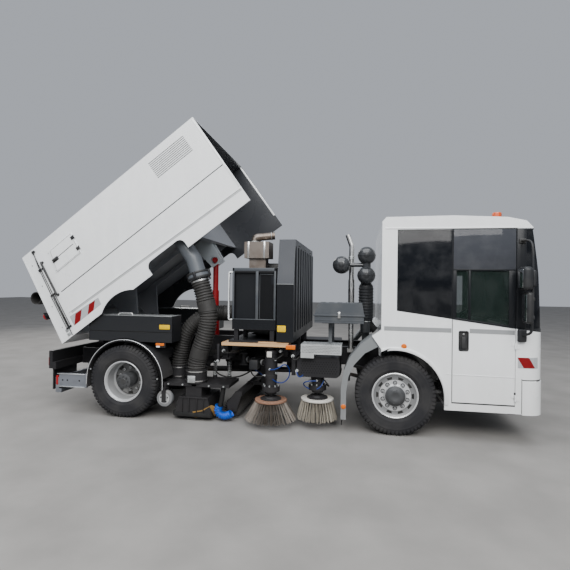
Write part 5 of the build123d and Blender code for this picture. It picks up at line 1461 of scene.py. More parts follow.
class SWEEPER_OT_tailgate(bpy.types.Operator):
    """Adds the tailgate's seal, guide bars, latches, bolts, ribs, lamp and the hand hose's ribs"""

    bl_idname = "sweeper.tailgate"
    bl_label = "Tailgate"

    def execute(self, context):
        seal = [(seam_u(v) - 0.0175, v) for v in (0.012, 1.44)] + [(seam_u(v) - 0.006, v)
            for v in (1.44, 0.012)]
        finish_pair(on_hopper_side("tailgate_seal", seal, 0.003), "rubber", "tailgate")
        side = HOPPER_SIDE + 0.013
        guide = []
        for low_shift, high_shift in ((-0.04, -0.046), (-0.016, -0.022), (0.01, 0.002), (0.034, 0.026)):
            low = on_hopper(seam_u(0.13) + low_shift, 0.13, -side)
            high = on_hopper(seam_u(0.69) + high_shift, 0.69, -side)
            guide.append(drum("guide_bar", low, high, 0.0055, sides=12))
        for v in (0.135, 0.685):
            guide.append(hopper_block("guide_foot", (seam_u(v) - 0.052, -side - 0.008, v - 0.012),
                (seam_u(v) + 0.044, -side + 0.006, v + 0.012), 0.004))
            guide.append(hopper_block("guide_seat", (seam_u(v) + 0.008, -side + 0.004, v - 0.012),
                (seam_u(v) + 0.044, -HOPPER_SIDE + 0.001, v + 0.012), 0.002))
        heights = ((0.69, -0.03), (1.113, -0.026), (1.405, 0.004))
        for (v, shift), (above, above_shift) in zip(heights, heights[1:]):
            guide.append(drum("latch_rod", on_hopper(seam_u(v) + shift, v, -side),
                on_hopper(seam_u(above) + above_shift, above, -side), 0.006, sides=12))
        for v, shift in heights[1:]:
            guide.append(hopper_block("latch_claw", (seam_u(v) + shift - 0.02, -side - 0.012, v - 0.016),
                (seam_u(v) + shift + 0.034, -side + 0.006, v + 0.016), 0.005))
            guide.append(hopper_block("latch_seat", (seam_u(v) + 0.008, -side + 0.004, v - 0.012),
                (seam_u(v) + 0.036, -HOPPER_SIDE + 0.001, v + 0.012), 0.002))
        finish_pair(joined("seam_guide", guide), "plastic", "hopper")
        catches = []
        for v in (0.05, 0.115):
            u = seam_u(v)
            catches.append(hopper_block("catch_plate", (u - 0.085, -HOPPER_SIDE - 0.006, v - 0.024),
                (u - 0.02, -HOPPER_SIDE, v + 0.024), 0.003))
            place = on_hopper(u - 0.055, v, -HOPPER_SIDE - 0.006)
            catches.append(drum("catch_bolt", place, place - Vector((0, 0.01, 0)), 0.011, sides=6))
        finish_pair(joined("catches", catches), "zinc", "tailgate")
        bolts = []
        for v in (0.2, 0.55, 0.9, 1.25):
            place = on_hopper(seam_u(v) - 0.11, v, -HOPPER_SIDE)
            bolts.append(drum("edge_bolt", place + Vector((0, 0.001, 0)), place - Vector((0, 0.004, 0)),
                0.009, sides=12))
        finish_pair(joined("edge_bolts", bolts), "stripe", "tailgate")
        fold = [(0.024, 0.03), (0.2, 1.42), (0.206, 1.42), (0.03, 0.03)]
        finish_pair(on_hopper_side("tailgate_fold", fold, 0.003, bevel=0.001), "white", "tailgate")
        finish(joined("tailgate_ribs", [back_block("back_rib", (up - 0.025, 0, -1.12),
            (up + 0.025, 0.012, 1.12), 0.004) for up in (0.16, 0.65, 1.1, 1.3)]), "white", "tailgate")
        finish(joined("tail_lamp_bracket", [
            back_block("lamp_bracket", (0.5, 0, -1.2), (0.53, 0.11, -1.08), 0.003),
            back_block("lamp_plate", (0.46, 0.1, -1.2), (0.57, 0.112, -1.08), 0.003),
        ]), "black", "tailgate")
        centre, out = behind(0.515, 0.112, -1.14), behind(0.515, 0.15, -1.14)
        finish(turned("tail_lamp", [(0, 0.052), (0.02, 0.054), (0.034, 0.048), (0.04, 0.03), (0.042, 0)],
            centre, out - centre, 32), "red_lens", "tailgate")
        finish(hand_hose(), "hose", "tailgate")
        return {"FINISHED"}


def behind(up, off, y):
    """A place this far up the tailgate's back and this far off it."""
    length = sqrt(1 + TAILGATE_LEAN ** 2)
    c, s = 1 / length, TAILGATE_LEAN / length
    return on_hopper(up * s - off * c, up * c + off * s, y)


def back_block(name, low, high, bevel):
    """A block on the tailgate's back: its corners are given as (up, off, y)."""
    piece = block(name, (-high[1], low[2], low[0]), (-low[1], high[2], high[0]), bevel)
    piece.data.transform(Matrix.Rotation(atan2(TAILGATE_LEAN, 1), 4, "Y"))
    return tipped(piece)


def hand_hose():
    """Ribs on the hand hose's upper and lower runs, between its clamps."""
    rings = []
    for up, first, last in ((0.85, -1.1, 0.74), (0.45, -0.4, 0.74)):
        y = first
        while y < last:
            if min(abs(y + 0.8), abs(y - 0.4)) > 0.035:
                centre = behind(up, 0.15, y)
                rings.append(ring("hose_rib", centre, LEFT, 0.0955, 0.0045, 28, 6))
            y += 0.034
    return joined("hand_hose_ribs", rings)


# Body between the cab and the hopper


class SWEEPER_OT_lockers(bpy.types.Operator):
    """Adds the lockers' lids, handles, reflectors and lamps, and the mudguards' edges and bolts"""

    bl_idname = "sweeper.lockers"
    bl_label = "Lockers and mudguards"

    def execute(self, context):
        face = 1.195
        finish_pair(block("locker_lid", at(-4.452, -1.19, 1.4995), at(-3.145, -0.865, 1.5035), 0.0015),
            "zinc")
        finish_pair(on_side("locker_seal", oblong(-4.452, -3.142, 1.264, 1.272), 0.001, 1.1875), "rubber")
        route = [at(-4.03, -1.11, 1.502), at(-4.02, -1.11, 1.534), at(-3.98, -1.11, 1.534),
            at(-3.85, -1.11, 1.534), at(-3.81, -1.11, 1.534), at(-3.8, -1.11, 1.502)]
        finish_pair(tube("locker_handle", route, 0.0105, 8), "steel")
        finish_pair(on_side("locker_reflector", rounded((-3.334, 1.315), (-3.171, 1.38), 0.01), 0.004, face,
            0.0015), "yellow_film")
        finish_pair(block("side_lamp_case", at(-3.4, -1.175, 1.045), at(-3.25, -1.135, 1.118), 0.006),
            "plastic")
        finish_pair(block("side_lamp_lens", at(-3.39, -1.192, 1.073), at(-3.262, -1.174, 1.112), 0.006, 3),
            "amber")
        finish_pair(block("side_lamp_clear", at(-3.385, -1.188, 1.05), at(-3.33, -1.174, 1.071), 0.005, 3),
            "clear_lens")
        centre = at(-3.865, 0, 0.545)
        edges = (("guard_edge", 0.6105, 0.0052, "bright_silver"), ("guard_bead", 0.588, 0.003, "black"))
        for name, radius, size, key in edges:
            angles = [radians(-10 + step * 16.4) for step in range(13)]
            points = [Vector((centre.x + radius * cos(angle), -1.2255, centre.z + radius * sin(angle)))
                for angle in angles]
            finish_pair(tube(name, points, size, 10), key)
        finish_pair(turned("fender_marker", [(0, 0.03), (0.006, 0.032), (0.01, 0.026), (0.012, 0)],
            at(-0.675, -1.215, 0.36), RIGHT, 28), "amber")
        finish_pair(block("spray_flap", at(-0.705, -1.19, 0.1), at(-0.695, -0.9, 0.3), 0.002), "rubber")
        finish_pair(joined("guard_bolts", [drum("guard_bolt", at(x, -1.225, z), at(x, -1.232, z), 0.012,
            sides=6) for x, z in ((-3.34, 0.6), (-4.4, 0.7), (-3.865, 1.148))]), "zinc")
        return {"FINISHED"}


class SWEEPER_OT_cabinet(bpy.types.Operator):
    """Adds the radiator cabinet's frame, panels, tread strip and tube handle"""

    bl_idname = "sweeper.cabinet"
    bl_label = "Radiator cabinet"

    def execute(self, context):
        face = 1.15
        x0, x1, z1 = -2.253, -1.625, 2.213
        finish(joined("cabinet_frame", [
            on_side("top_bar", oblong(x0, x1, z1 - 0.045, z1), 0.008, face, 0.003),
            on_side("left_bar", oblong(x0, x0 + 0.028, 1.49, z1), 0.008, face, 0.003),
            on_side("right_bar", oblong(x1 - 0.025, x1, 1.49, z1), 0.008, face, 0.003),
            on_side("middle_bar", oblong(-1.915, -1.875, 1.49, 2.168), 0.006, face, 0.003),
            on_side("strip_edge", oblong(x0, x1, 1.484, 1.496), 0.01, face, 0.003),
        ]), "grey_plastic")
        panels = [on_side("cabinet_panel", oblong(x, other_x, 1.495, 2.148), 0.004, 1.1)
            for x, other_x in ((-2.222, -1.918), (-1.872, -1.653))]
        finish(joined("cabinet_panels", panels), "gloss_black")
        inner = [on_side("core_edge", oblong(x, x + 0.008, 1.5, 2.144), 0.012, 1.103)
            for x in (-1.868, -1.664)]
        inner.append(on_side("core_edge", oblong(-1.868, -1.656, 2.12, 2.13), 0.012, 1.103))
        finish(joined("core_edges", inner), "grey_plastic")
        fin = block("core_fin", at(-1.858, -1.112, 1.502), at(-1.855, -1.103, 2.118))
        finish(along("core_fins", fin, [(0.0102 * step, 0, 0) for step in range(19)]), "mesh")
        strip = on_side("tread_strip", oblong(x0 + 0.005, x1 - 0.005, 1.35, 1.482), 0.003, face)
        lozenge = plate("lozenge", [at(-2.236, -face - 0.003, 1.372), at(-2.212, -face - 0.003, 1.392),
            at(-2.206, -face - 0.003, 1.388), at(-2.23, -face - 0.003, 1.368)], (0, -0.003, 0))
        middle = at(-2.221, 0, 1.38)
        other = copy_of(lozenge, Matrix.Translation(middle + Vector((0.03, 0, 0)))
            @ Matrix.Scale(-1, 4, AHEAD) @ Matrix.Translation(-middle))
        steps = [(0.06 * i, 0, 0.036 * j) for i in range(10) for j in range(3)]
        lozenges = along("lozenges", joined("lozenge_pair", [lozenge, other]), steps)
        finish(joined("tread_plate", [strip, lozenges]), "gloss_black")
        route = [at(-2.253, -1.12, 2.15), at(-2.285, -1.12, 2.152), at(-2.31, -1.12, 2.148),
            at(-2.3115, -1.12, 2.1), at(-2.3115, -1.12, 1.53), at(-2.31, -1.12, 1.482),
            at(-2.285, -1.12, 1.478), at(-2.253, -1.12, 1.48)]
        finish(tube("cabinet_handle", route, 0.014, 8), "white")
        return {"FINISHED"}


class SWEEPER_OT_cowl(bpy.types.Operator):
    """Adds the cowl's seam, slots and reflector"""

    bl_idname = "sweeper.cowl"
    bl_label = "Engine cowl"

    def execute(self, context):
        face = 1.205
        finish_pair(on_side("cowl_seam", oblong(-1.6, -1.366, 1.986, 1.992), 0.002, face), "stripe")
        finish_pair(on_side("cowl_reflector", rounded((-1.59, 1.33), (-1.47, 1.418), 0.012), 0.004, face,
            0.0015), "yellow_film")
        slots = []
        for y in (-0.7, 0, 0.7):
            slots.append(block("slot_edge", at(-1.366, y - 0.134, 2.5605), at(-1.3625, y + 0.134, 2.564)))
            slots.append(block("slot_edge", at(-1.366, y - 0.134, 2.541), at(-1.3625, y + 0.134, 2.5445)))
        finish(joined("cowl_slots", slots), "stripe")
        return {"FINISHED"}


class SWEEPER_OT_engine(bpy.types.Operator):
    """Adds the silencer's bands and pipe clamps, and the engine's ribs, cover, pulley and fan rims"""

    bl_idname = "sweeper.engine"
    bl_label = "Engine fittings"

    def execute(self, context):
        finish(joined("silencer_bands", [block("shield_band", at(x - 0.014, -0.884, 2.368),
            at(x + 0.014, -0.556, 2.612), 0.002) for x in (-2.1, -1.86)]), "steel")
        finish(joined("pipe_clamps", [ring("pipe_clamp", at(*place), axis, 0.06, 0.006, 32, 8)
            for place, axis in (((-2.05, -0.7, 2.628), UP), ((-1.96, -0.54, 2.48), LEFT),
            ((-1.8, -0.6515, 2.7146), (1, 0.18, 0.09)))]), "zinc")
        ribs = []
        for step in range(9):
            z = 1.29 + 0.085 * step
            ribs.append(block("block_rib", at(-2.184, -0.52, z), at(-1.676, 0.4, z + 0.02), 0.004))
        finish(joined("engine_ribs", ribs), "engine")
        cover = [block("rocker_cover", at(-2.09, -0.39, 2.296), at(-1.75, 0.27, 2.318), 0.008)]
        for step in range(4):
            place = at(-1.92, -0.3 + 0.17 * step, 2.316)
            cover.append(drum("cover_bolt", place, place + Vector((0, 0, 0.012)), 0.012, sides=6))
        finish(joined("rocker_cover", cover), "plastic")
        finish(turned("belt_pulley", [(0, 0), (0, 0.09), (0.012, 0.1), (0.02, 0.084), (0.028, 0.1),
            (0.04, 0.09), (0.04, 0)], at(-1.68, -0.1, 1.7), AHEAD, 40), "zinc")
        finish(joined("fan_rims", [ring("fan_rim", at(-2.01, y, 1.64), LEFT, 0.359, 0.008, 64, 8)
            for y in (0.472, 0.758)]), "black")
        bolt = drum("fan_bolt", at(-2.01, 0.7595, 1.97), at(-2.01, 0.77, 1.97), 0.012, sides=6)
        finish(around("fan_bolts", bolt, 12, at(-2.01, 0.77, 1.64), LEFT), "zinc")
        finish(turned("fan_cover", [(0, 0.18), (0.006, 0.18), (0.01, 0.165), (0.016, 0.06), (0.03, 0.05),
            (0.03, 0)], at(-2.01, 0.7595, 1.64), LEFT, 48), "engine")
        return {"FINISHED"}


class SWEEPER_OT_behind_cab(bpy.types.Operator):
    """Adds the toolbox's ribs and latch, the step's ribs and holes, and the intake and exhaust details"""

    bl_idname = "sweeper.behind_cab"
    bl_label = "Behind the cab"

    def execute(self, context):
        x0, x1, y0, y1, z0 = -1.08, -0.416, -1.18, -0.88, 1.56
        lid_ribs = []
        for step in range(5):
            x = -0.98 + step * 0.115
            lid_ribs.append(block("lid_rib", at(x - 0.03, y0 + 0.03, z0 + 0.178),
                at(x + 0.03, y1 - 0.035, z0 + 0.186), 0.004))
        finish(joined("lid_ribs", lid_ribs), "grey_plastic", "toolbox_lid")
        finish(block("lid_rim", at(x0 - 0.012, y0 - 0.013, z0 + 0.002),
            at(x1 + 0.012, y0 - 0.006, z0 + 0.022), 0.003), "grey_plastic", "toolbox_lid")
        finish(joined("toolbox_latch", [
            block("latch_plate", at(-0.762, y0 - 0.024, z0 - 0.022), at(-0.728, y0 - 0.019, z0 + 0.062),
                0.003),
            block("latch_hook", at(-0.755, y0 - 0.032, z0 + 0.002), at(-0.735, y0 - 0.022, z0 + 0.05),
                0.004),
        ]), "steel", "toolbox_lid")
        finish(block("tray_band", at(x0 - 0.002, y0 - 0.003, 1.5), at(x1 + 0.002, y0 + 0.001, 1.512),
            0.001), "grey_plastic")
        rib = block("step_rib", at(-1.256, -1.195, 1.1698), at(-1.244, -0.905, 1.1755), 0.002, 1)
        finish(along("step_ribs", rib, [(0.0224 * step, 0, 0) for step in range(25)]), "zinc")
        # Black discs on the step's face: painted shade in its holes
        hole = drum("step_hole", at(-1.24, -1.1995, 1.066), at(-1.24, -1.2008, 1.066), 0.0055, sides=8)
        steps = []
        for row in range(5):
            for column in range(26):
                x = 0.02 * column + (0.01 if row % 2 else 0)
                if x < 0.515:
                    steps.append((x, 0, 0.02 * row))
        finish(along("step_holes", hole, steps), "mesh")
        # Black discs on the silencer's cover: painted shade in its holes
        hole = drum("silencer_hole", at(-1.26, -1.1085, 0.77), at(-1.26, -1.1112, 0.77), 0.009, sides=10)
        steps = [(0.036 * column + (0.018 if row % 2 else 0), 0, 0.03 * row) for row in range(6)
            for column in range(14)]
        finish(along("silencer_holes", hole, steps), "mesh")
        seams = []
        for x, z in ((-0.742, 2.281), (-0.382, 2.418), (-0.385, 2.131)):
            centre = at(x, -0.68, z)
            seams.append(ring("dome_seam", centre, UP, 0.1295, 0.004, 48, 8))
            seams.append(turned("dome_cap", [(0.1285, 0), (0.1285, 0.022), (0.124, 0.04), (0.118, 0.052)],
                centre, RIGHT, 28))
        finish(joined("dome_seams", seams), "plastic")
        finish(joined("duct_bands", [ring("duct_band", at(-0.385, -0.58, z), UP, 0.081, 0.005, 36, 8)
            for z in (1.46, 1.8, 2)]), "zinc")
        section = [(1.475, 0.082), (1.475, 0.098), (1.49, 0.102)]
        for step in range(11):
            section += [(1.5 + 0.042 * step, 0.102), (1.508 + 0.042 * step, 0.109),
                (1.524 + 0.042 * step, 0.109), (1.532 + 0.042 * step, 0.102)]
        section += [(1.975, 0.102), (2.005, 0.086), (1.475, 0.082)]
        finish(turned("intake_duct", section, at(-0.385, -0.58, 0), UP, 40), "plastic")
        finish(tube("duct_elbow", [at(-0.36, -0.58, 1.5), at(-0.33, -0.58, 1.4), at(-0.25, -0.57, 1.33)],
            0.055, 8), "rubber")
        shield = turned("stack_shield", band(0, 0.52, 0.0395, 0.046), at(-0.6, -0.52, 1.55), UP, 32)
        # Black slots in the stack's shield: painted shade in its openings
        slot = block("shield_slot", at(-0.6025, -0.567, 1.6), at(-0.5975, -0.565, 1.66), 0.001, 1)
        rows = [around("shield_slots", copy_of(slot, Matrix.Translation((0, 0, 0.09 * row))), 10,
            at(-0.6, -0.52, 1.63), UP, 0.3 * (row % 2)) for row in range(5)]
        bpy.data.objects.remove(slot)
        finish(joined("shield_slots", rows), "mesh")
        finish(shield, "steel")
        finish(joined("stack_clamps", [ring("stack_clamp", at(-0.6, -0.52, z), UP, 0.0465, 0.004, 32, 8)
            for z in (2.386, 2.414)]), "zinc")
        return {"FINISHED"}


# Sweeping gear under the deck


def hose_loop(name, places, key, radius, body):
    """A thin hose drawn through places on the truck."""
    piece = tube(name, [at(*place) for place in places], radius, 8, order=4)
    return finish(piece, key, body)


def fitting(place, axis, size=0.016):
    """A hexagon hose fitting with its collar."""
    place, way = at(*place), Vector(axis).normalized()
    return [
        drum("fitting_nut", place, place + way * size, size, sides=6, bevel=0.001),
        drum("fitting_collar", place + way * size, place + way * size * 2.4, size * 0.72, sides=16),
    ]


class SWEEPER_OT_nozzle_gear(bpy.types.Operator):
    """Adds the suction nozzle's cuffs, flap, skirts, ribs and springs, and the caster wheel"""

    bl_idname = "sweeper.nozzle_gear"
    bl_label = "Suction nozzle"

    def execute(self, context):
        bands = []
        for x, y, radius in ((-2.83, -1, 0.152), (-3.205, -0.735, 0.139)):
            section = band(0, 0.016, radius - 0.004, radius + 0.004)
            bands += [turned("cuff_band", section, at(x, y, z), UP, 40) for z in (0.565, 0.7)]
        finish(joined("cuff_bands", bands), "steel", "nozzle")
        tag = block("cuff_tag", at(-2.905, -1.166, 0.555), at(-2.79, -1.15, 0.655), 0.004)
        screws = [drum("tag_screw", at(x, -1.166, z), at(x, -1.172, z), 0.008, sides=6)
            for x in (-2.89, -2.805) for z in (0.575, 0.635)]
        finish(joined("cuff_tag", [tag] + screws), "zinc", "nozzle")
        finish(plate("nozzle_flap", [at(-2.56, -1.112, 0.24), at(-2.5, -1.05, 0.2), at(-2.47, -1.02, 0.1),
            at(-2.58, -1, 0.035), at(-2.8, -1.116, 0.05), at(-2.84, -1.116, 0.13), at(-2.7, -1.116, 0.16)],
            (0, -0.008, 0), 0.002), "ochre", "nozzle")
        skirt = []
        for y, side in ((-1.112, -1), (-0.556, 1)):
            outline = [at(-3.118, y, 0.055), at(-3.1, y, 0.115), at(-2.575, y, 0.115), at(-2.562, y, 0.055)]
            skirt.append(plate("nozzle_skirt", outline, (0, 0.012 * side, 0), 0.003))
        skirt.append(block("nozzle_lip", at(-3.145, -1.1, 0.056), at(-3.125, -0.57, 0.125), 0.004))
        finish(joined("nozzle_skirts", skirt), "rubber", "nozzle")
        ribs = [block("nozzle_rib", at(x - 0.006, -1.128, 0.12), at(x + 0.006, -1.108, 0.322), 0.003)
            for x in (-3, -2.9, -2.78, -2.68)]
        ribs.append(block("nozzle_collar", at(-2.975, -1.104, 0.318), at(-2.705, -0.686, 0.338), 0.005))
        ribs.append(block("nozzle_edge", at(-3.06, -1.122, 0.318), at(-2.62, -1.108, 0.34), 0.004))
        finish(joined("nozzle_ribs", ribs), "black", "nozzle")
        finish(joined("bar_bolts", [drum("bar_bolt", at(x, -1.11, 0.512), at(x, -1.124, 0.512), 0.013,
            sides=6) for x in (-3.22, -3, -2.6, -2.38)]), "zinc", "nozzle")
        tyre_ring = turned("caster_tyre", [(-0.0415, 0.082), (-0.0425, 0.1), (-0.04, 0.114),
            (-0.03, 0.1205), (0.03, 0.1205), (0.04, 0.114), (0.0425, 0.1), (0.0415, 0.082),
            (-0.0415, 0.082)], at(-3.272, -1.1, 0.3), LEFT, 48)
        finish(tyre_ring, "grey_rubber", "caster")
        rim = turned("caster_rim", [(-0.0425, 0.0125), (-0.0425, 0.034), (-0.0435, 0.036), (-0.0435, 0.074),
            (-0.0425, 0.08), (0.0425, 0.08), (0.0435, 0.074), (0.0435, 0.036), (0.0425, 0.034),
            (0.0425, 0.0125), (-0.0425, 0.0125)], at(-3.272, -1.1, 0.3), LEFT, 40)
        # Dark discs on the caster's rim: painted shade in its holes
        holes = drum("caster_hole", at(-3.272, -1.1432, 0.355), at(-3.272, -1.1448, 0.355), 0.011, sides=14)
        finish(rim, "silver", "caster")
        finish(around("caster_holes", holes, 5, at(-3.272, -1.144, 0.3), LEFT), "rubber", "caster")
        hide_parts("caster_wheel")
        finish(joined("guide_springs", [ring("spring_coil", at(x, -0.64, 0.581 + 0.025 * step),
            (0.03, 0, 1), 0.028, 0.005, 24, 6) for x in (-2.67, -2.44) for step in range(9)]), "zinc",
            "nozzle")
        return {"FINISHED"}


class SWEEPER_OT_brush_gear(bpy.types.Operator):
    """Adds the brush motors' bodies, bolts, ports and thin hoses, and the arm's box and sleeves"""

    bl_idname = "sweeper.brush_gear"
    bl_label = "Brush arms and motors"

    def execute(self, context):
        x, y = -1.7, -1.05
        motor = turned("rear_motor_body", [(0, 0.0815), (0, 0.088), (0.06, 0.088), (0.064, 0.0835),
            (0.14, 0.0835), (0.144, 0.09), (0.3, 0.09), (0.304, 0.0835), (0.36, 0.0835), (0.364, 0.092),
            (0.4, 0.092), (0.412, 0.084), (0.416, 0)], at(x, y, 0.648), UP, 40)
        bolt = drum("motor_bolt", at(x + 0.105, y, 0.55), at(x + 0.105, y, 0.572), 0.011, sides=6)
        bolts = around("rear_flange_bolts", bolt, 8, at(x, y, 0.55), UP)
        finish(motor, "black", "brush_arm_rear")
        finish(bolts, "zinc", "brush_arm_rear")
        finish(block("motor_tag", at(-1.745, -1.146, 0.965), at(-1.675, -1.136, 1.045), 0.003),
            "brush_white", "brush_arm_rear")
        boxes = [
            block("arm_box", at(-2.03, -1.03, 0.755), at(-1.905, -0.83, 0.895), 0.012),
            block("valve_block", at(-2.46, -1.03, 0.965), at(-2.34, -0.9, 1.085), 0.01),
            block("valve_foot", at(-2.44, -0.98, 0.9), at(-2.36, -0.92, 0.97), 0.006),
        ]
        finish(boxes[0], "plastic", "brush_arm_rear")
        shelf = block("valve_shelf", at(-2.47, -0.99, 0.885), at(-2.33, -0.42, 0.9), 0.003)
        finish(joined("valve_block", boxes[1:] + [shelf]), "black")
        sleeves = []
        start, end = at(-2.2, -0.64, 0.85), at(-1.7, -1.05, 0.85)
        for share in (0.16, 0.34, 0.7):
            middle = start.lerp(end, share)
            way = (end - start).normalized()
            sleeves.append(drum("arm_sleeve", middle - way * 0.016, middle + way * 0.016, 0.044, sides=28,
                bevel=0.003))
        finish(joined("arm_sleeves", sleeves), "zinc", "brush_arm_rear")
        port = fitting((-1.7, -1.138, 0.8), RIGHT) + fitting((-1.625, -1.1, 0.74), (0.8, -0.6, 0))
        port += fitting((-1.775, -1.1, 0.7), (-0.8, -0.6, 0))
        port += fitting((-1.64, -1.12, 0.93), (0.6, -0.8, 0))
        finish(joined("rear_motor_ports", port), "zinc", "brush_arm_rear")
        loops = (
            ("rear_motor_hose_blue", ((-1.7, -1.17, 0.8), (-1.58, -1.22, 0.8), (-1.5, -1.17, 0.92),
                (-1.42, -1.05, 0.8), (-1.45, -1, 0.62), (-1.58, -1.08, 0.57), (-1.665, -1.13, 0.66)),
                "blue", 0.0075),
            ("rear_motor_hose_black", ((-1.65, -1.14, 0.93), (-1.55, -1.2, 0.97), (-1.5, -1.08, 1.03),
                (-1.56, -0.98, 0.99), (-1.62, -1.02, 0.92)), "rubber", 0.009),
            ("rear_arm_hose", ((-1.79, -1.12, 0.7), (-1.9, -1.16, 0.66), (-2.02, -1.02, 0.72),
                (-2.06, -0.86, 0.8), (-2.1, -0.76, 0.92)), "rubber", 0.01),
        )
        for loop in loops:
            hose_loop(*loop, "brush_arm_rear")
        x, y = -1.05, -0.95
        motor = turned("front_motor_body", [(0, 0.0815), (0, 0.088), (0.03, 0.088), (0.034, 0.084),
            (0.06, 0.084), (0.066, 0.094), (0.1, 0.094), (0.108, 0.08), (0.11, 0)], at(x, y, 0.583), UP, 40)
        bolt = drum("motor_bolt", at(x + 0.105, y, 0.58), at(x + 0.105, y, 0.6), 0.011, sides=6)
        finish(motor, "black", "brush_arm_front")
        finish(around("front_flange_bolts", bolt, 8, at(x, y, 0.58), UP), "zinc", "brush_arm_front")
        port = fitting((-1.05, -1.046, 0.655), RIGHT) + fitting((-0.965, -0.99, 0.65), (0.8, -0.6, 0))
        port += fitting((-1.135, -0.99, 0.64), (-0.8, -0.6, 0))
        finish(joined("front_motor_ports", port), "zinc", "brush_arm_front")
        loops = (
            ("front_motor_hose_blue", ((-1.05, -1.08, 0.655), (-1.18, -1.13, 0.66), (-1.27, -1.03, 0.6),
                (-1.2, -0.96, 0.52), (-1.08, -1.08, 0.52), (-0.98, -1.08, 0.565), (-0.955, -1.01, 0.66)),
                "blue", 0.0075),
            ("front_motor_hose_black", ((-0.945, -1.01, 0.65), (-0.88, -1.07, 0.6), (-0.86, -0.98, 0.54),
                (-0.93, -0.95, 0.585)), "rubber", 0.009),
        )
        for loop in loops:
            hose_loop(*loop, "brush_arm_front")
        return {"FINISHED"}


class SWEEPER_OT_deck_gear(bpy.types.Operator):
    """Adds the hose runs, fittings, lamp and boards at the deck's edge, and the ribbed blue hose"""

    bl_idname = "sweeper.deck_gear"
    bl_label = "Deck's edge"

    def execute(self, context):
        finish(block("deck_board", at(-1.86, -1.196, 1.1605), at(-1.43, -0.92, 1.182), 0.003), "board")
        finish(block("deck_lamp_case", at(-1.475, -1.19, 1.085), at(-1.33, -1.12, 1.158), 0.008), "plastic")
        finish(block("deck_lamp_lens", at(-1.468, -1.205, 1.092), at(-1.337, -1.189, 1.152), 0.007, 3),
            "amber")
        finish(joined("board_bolts", [drum("board_bolt", at(px, -1.1, 1.159), at(px, -1.1, 1.17), 0.014,
            sides=14) for px in (-2.33, -1.93)]), "zinc")
        fittings = []
        for place in ((-2.471, -1.1, 0.874), (-1.57, -1, 1.04), (-1.381, -1.1, 0.99), (-1.322, -1.1, 0.79),
            (-2.4, -1.04, 1.02)):
            fittings += fitting(place, RIGHT, 0.024)
        finish(joined("deck_fittings", fittings), "zinc")
        finish(joined("fitting_posts", [
            block("fitting_post", at(-1.4, -1.1, 0.72), at(-1.345, -1.07, 1.118), 0.004),
            block("fitting_arm", at(-1.4, -1.09, 0.95), at(-1.345, -0.42, 0.975), 0.004),
            block("fitting_post", at(-2.49, -1.1, 0.86), at(-2.455, -1.06, 1.118), 0.004),
            block("fitting_post", at(-1.585, -1, 1.02), at(-1.55, -0.42, 1.05), 0.004),
        ]), "black")
        loops = (
            ("deck_hose_long", ((-2.471, -1.15, 0.874), (-2.52, -1.2, 0.78), (-2.44, -1.12, 0.66),
                (-2.2, -0.98, 0.6), (-2.02, -0.7, 0.7), (-1.9, -0.45, 0.86)), "rubber", 0.011),
            ("deck_hose_high", ((-2.4, -1.09, 1.02), (-2.34, -1.16, 1), (-2.22, -1.02, 0.99),
                (-2.06, -0.8, 1.06), (-1.9, -0.5, 1.05)), "rubber", 0.01),
            ("deck_hose_blue", ((-1.322, -1.15, 0.79), (-1.3, -1.2, 0.7), (-1.22, -1.12, 0.72),
                (-1.2, -0.95, 0.8), (-1.24, -0.6, 0.86)), "blue", 0.0075),
            ("deck_hose_front", ((-1.381, -1.15, 0.99), (-1.36, -1.21, 0.92), (-1.28, -1.14, 0.99),
                (-1.22, -0.95, 1.04), (-1.2, -0.6, 1.03)), "rubber", 0.009),
            ("deck_hose_low", ((-1.9, -0.46, 0.6), (-1.8, -0.7, 0.56), (-1.96, -0.76, 0.66),
                (-2.06, -0.6, 0.7), (-2.1, -0.46, 0.66)), "blue", 0.009),
        )
        for loop in loops:
            hose_loop(*loop, "truck")
        route = [at(-2.46, -1.055, 0.225), at(-2.49, -1.055, 0.16), at(-2.44, -1.055, 0.082),
            at(-2.33, -1.055, 0.078), at(-2.275, -1.055, 0.125)]
        finish(tube("spiral_feed", [at(-2.4, -1.055, 0.492), at(-2.41, -1.055, 0.36),
            at(-2.448, -1.055, 0.215)], 0.034, 8), "rubber", "nozzle")
        finish(ribbed_hose("blue_spiral_hose", route, 0.058, (), 0.028, 0.013, 0.008, 24), "bright_blue",
            "nozzle")
        return {"FINISHED"}


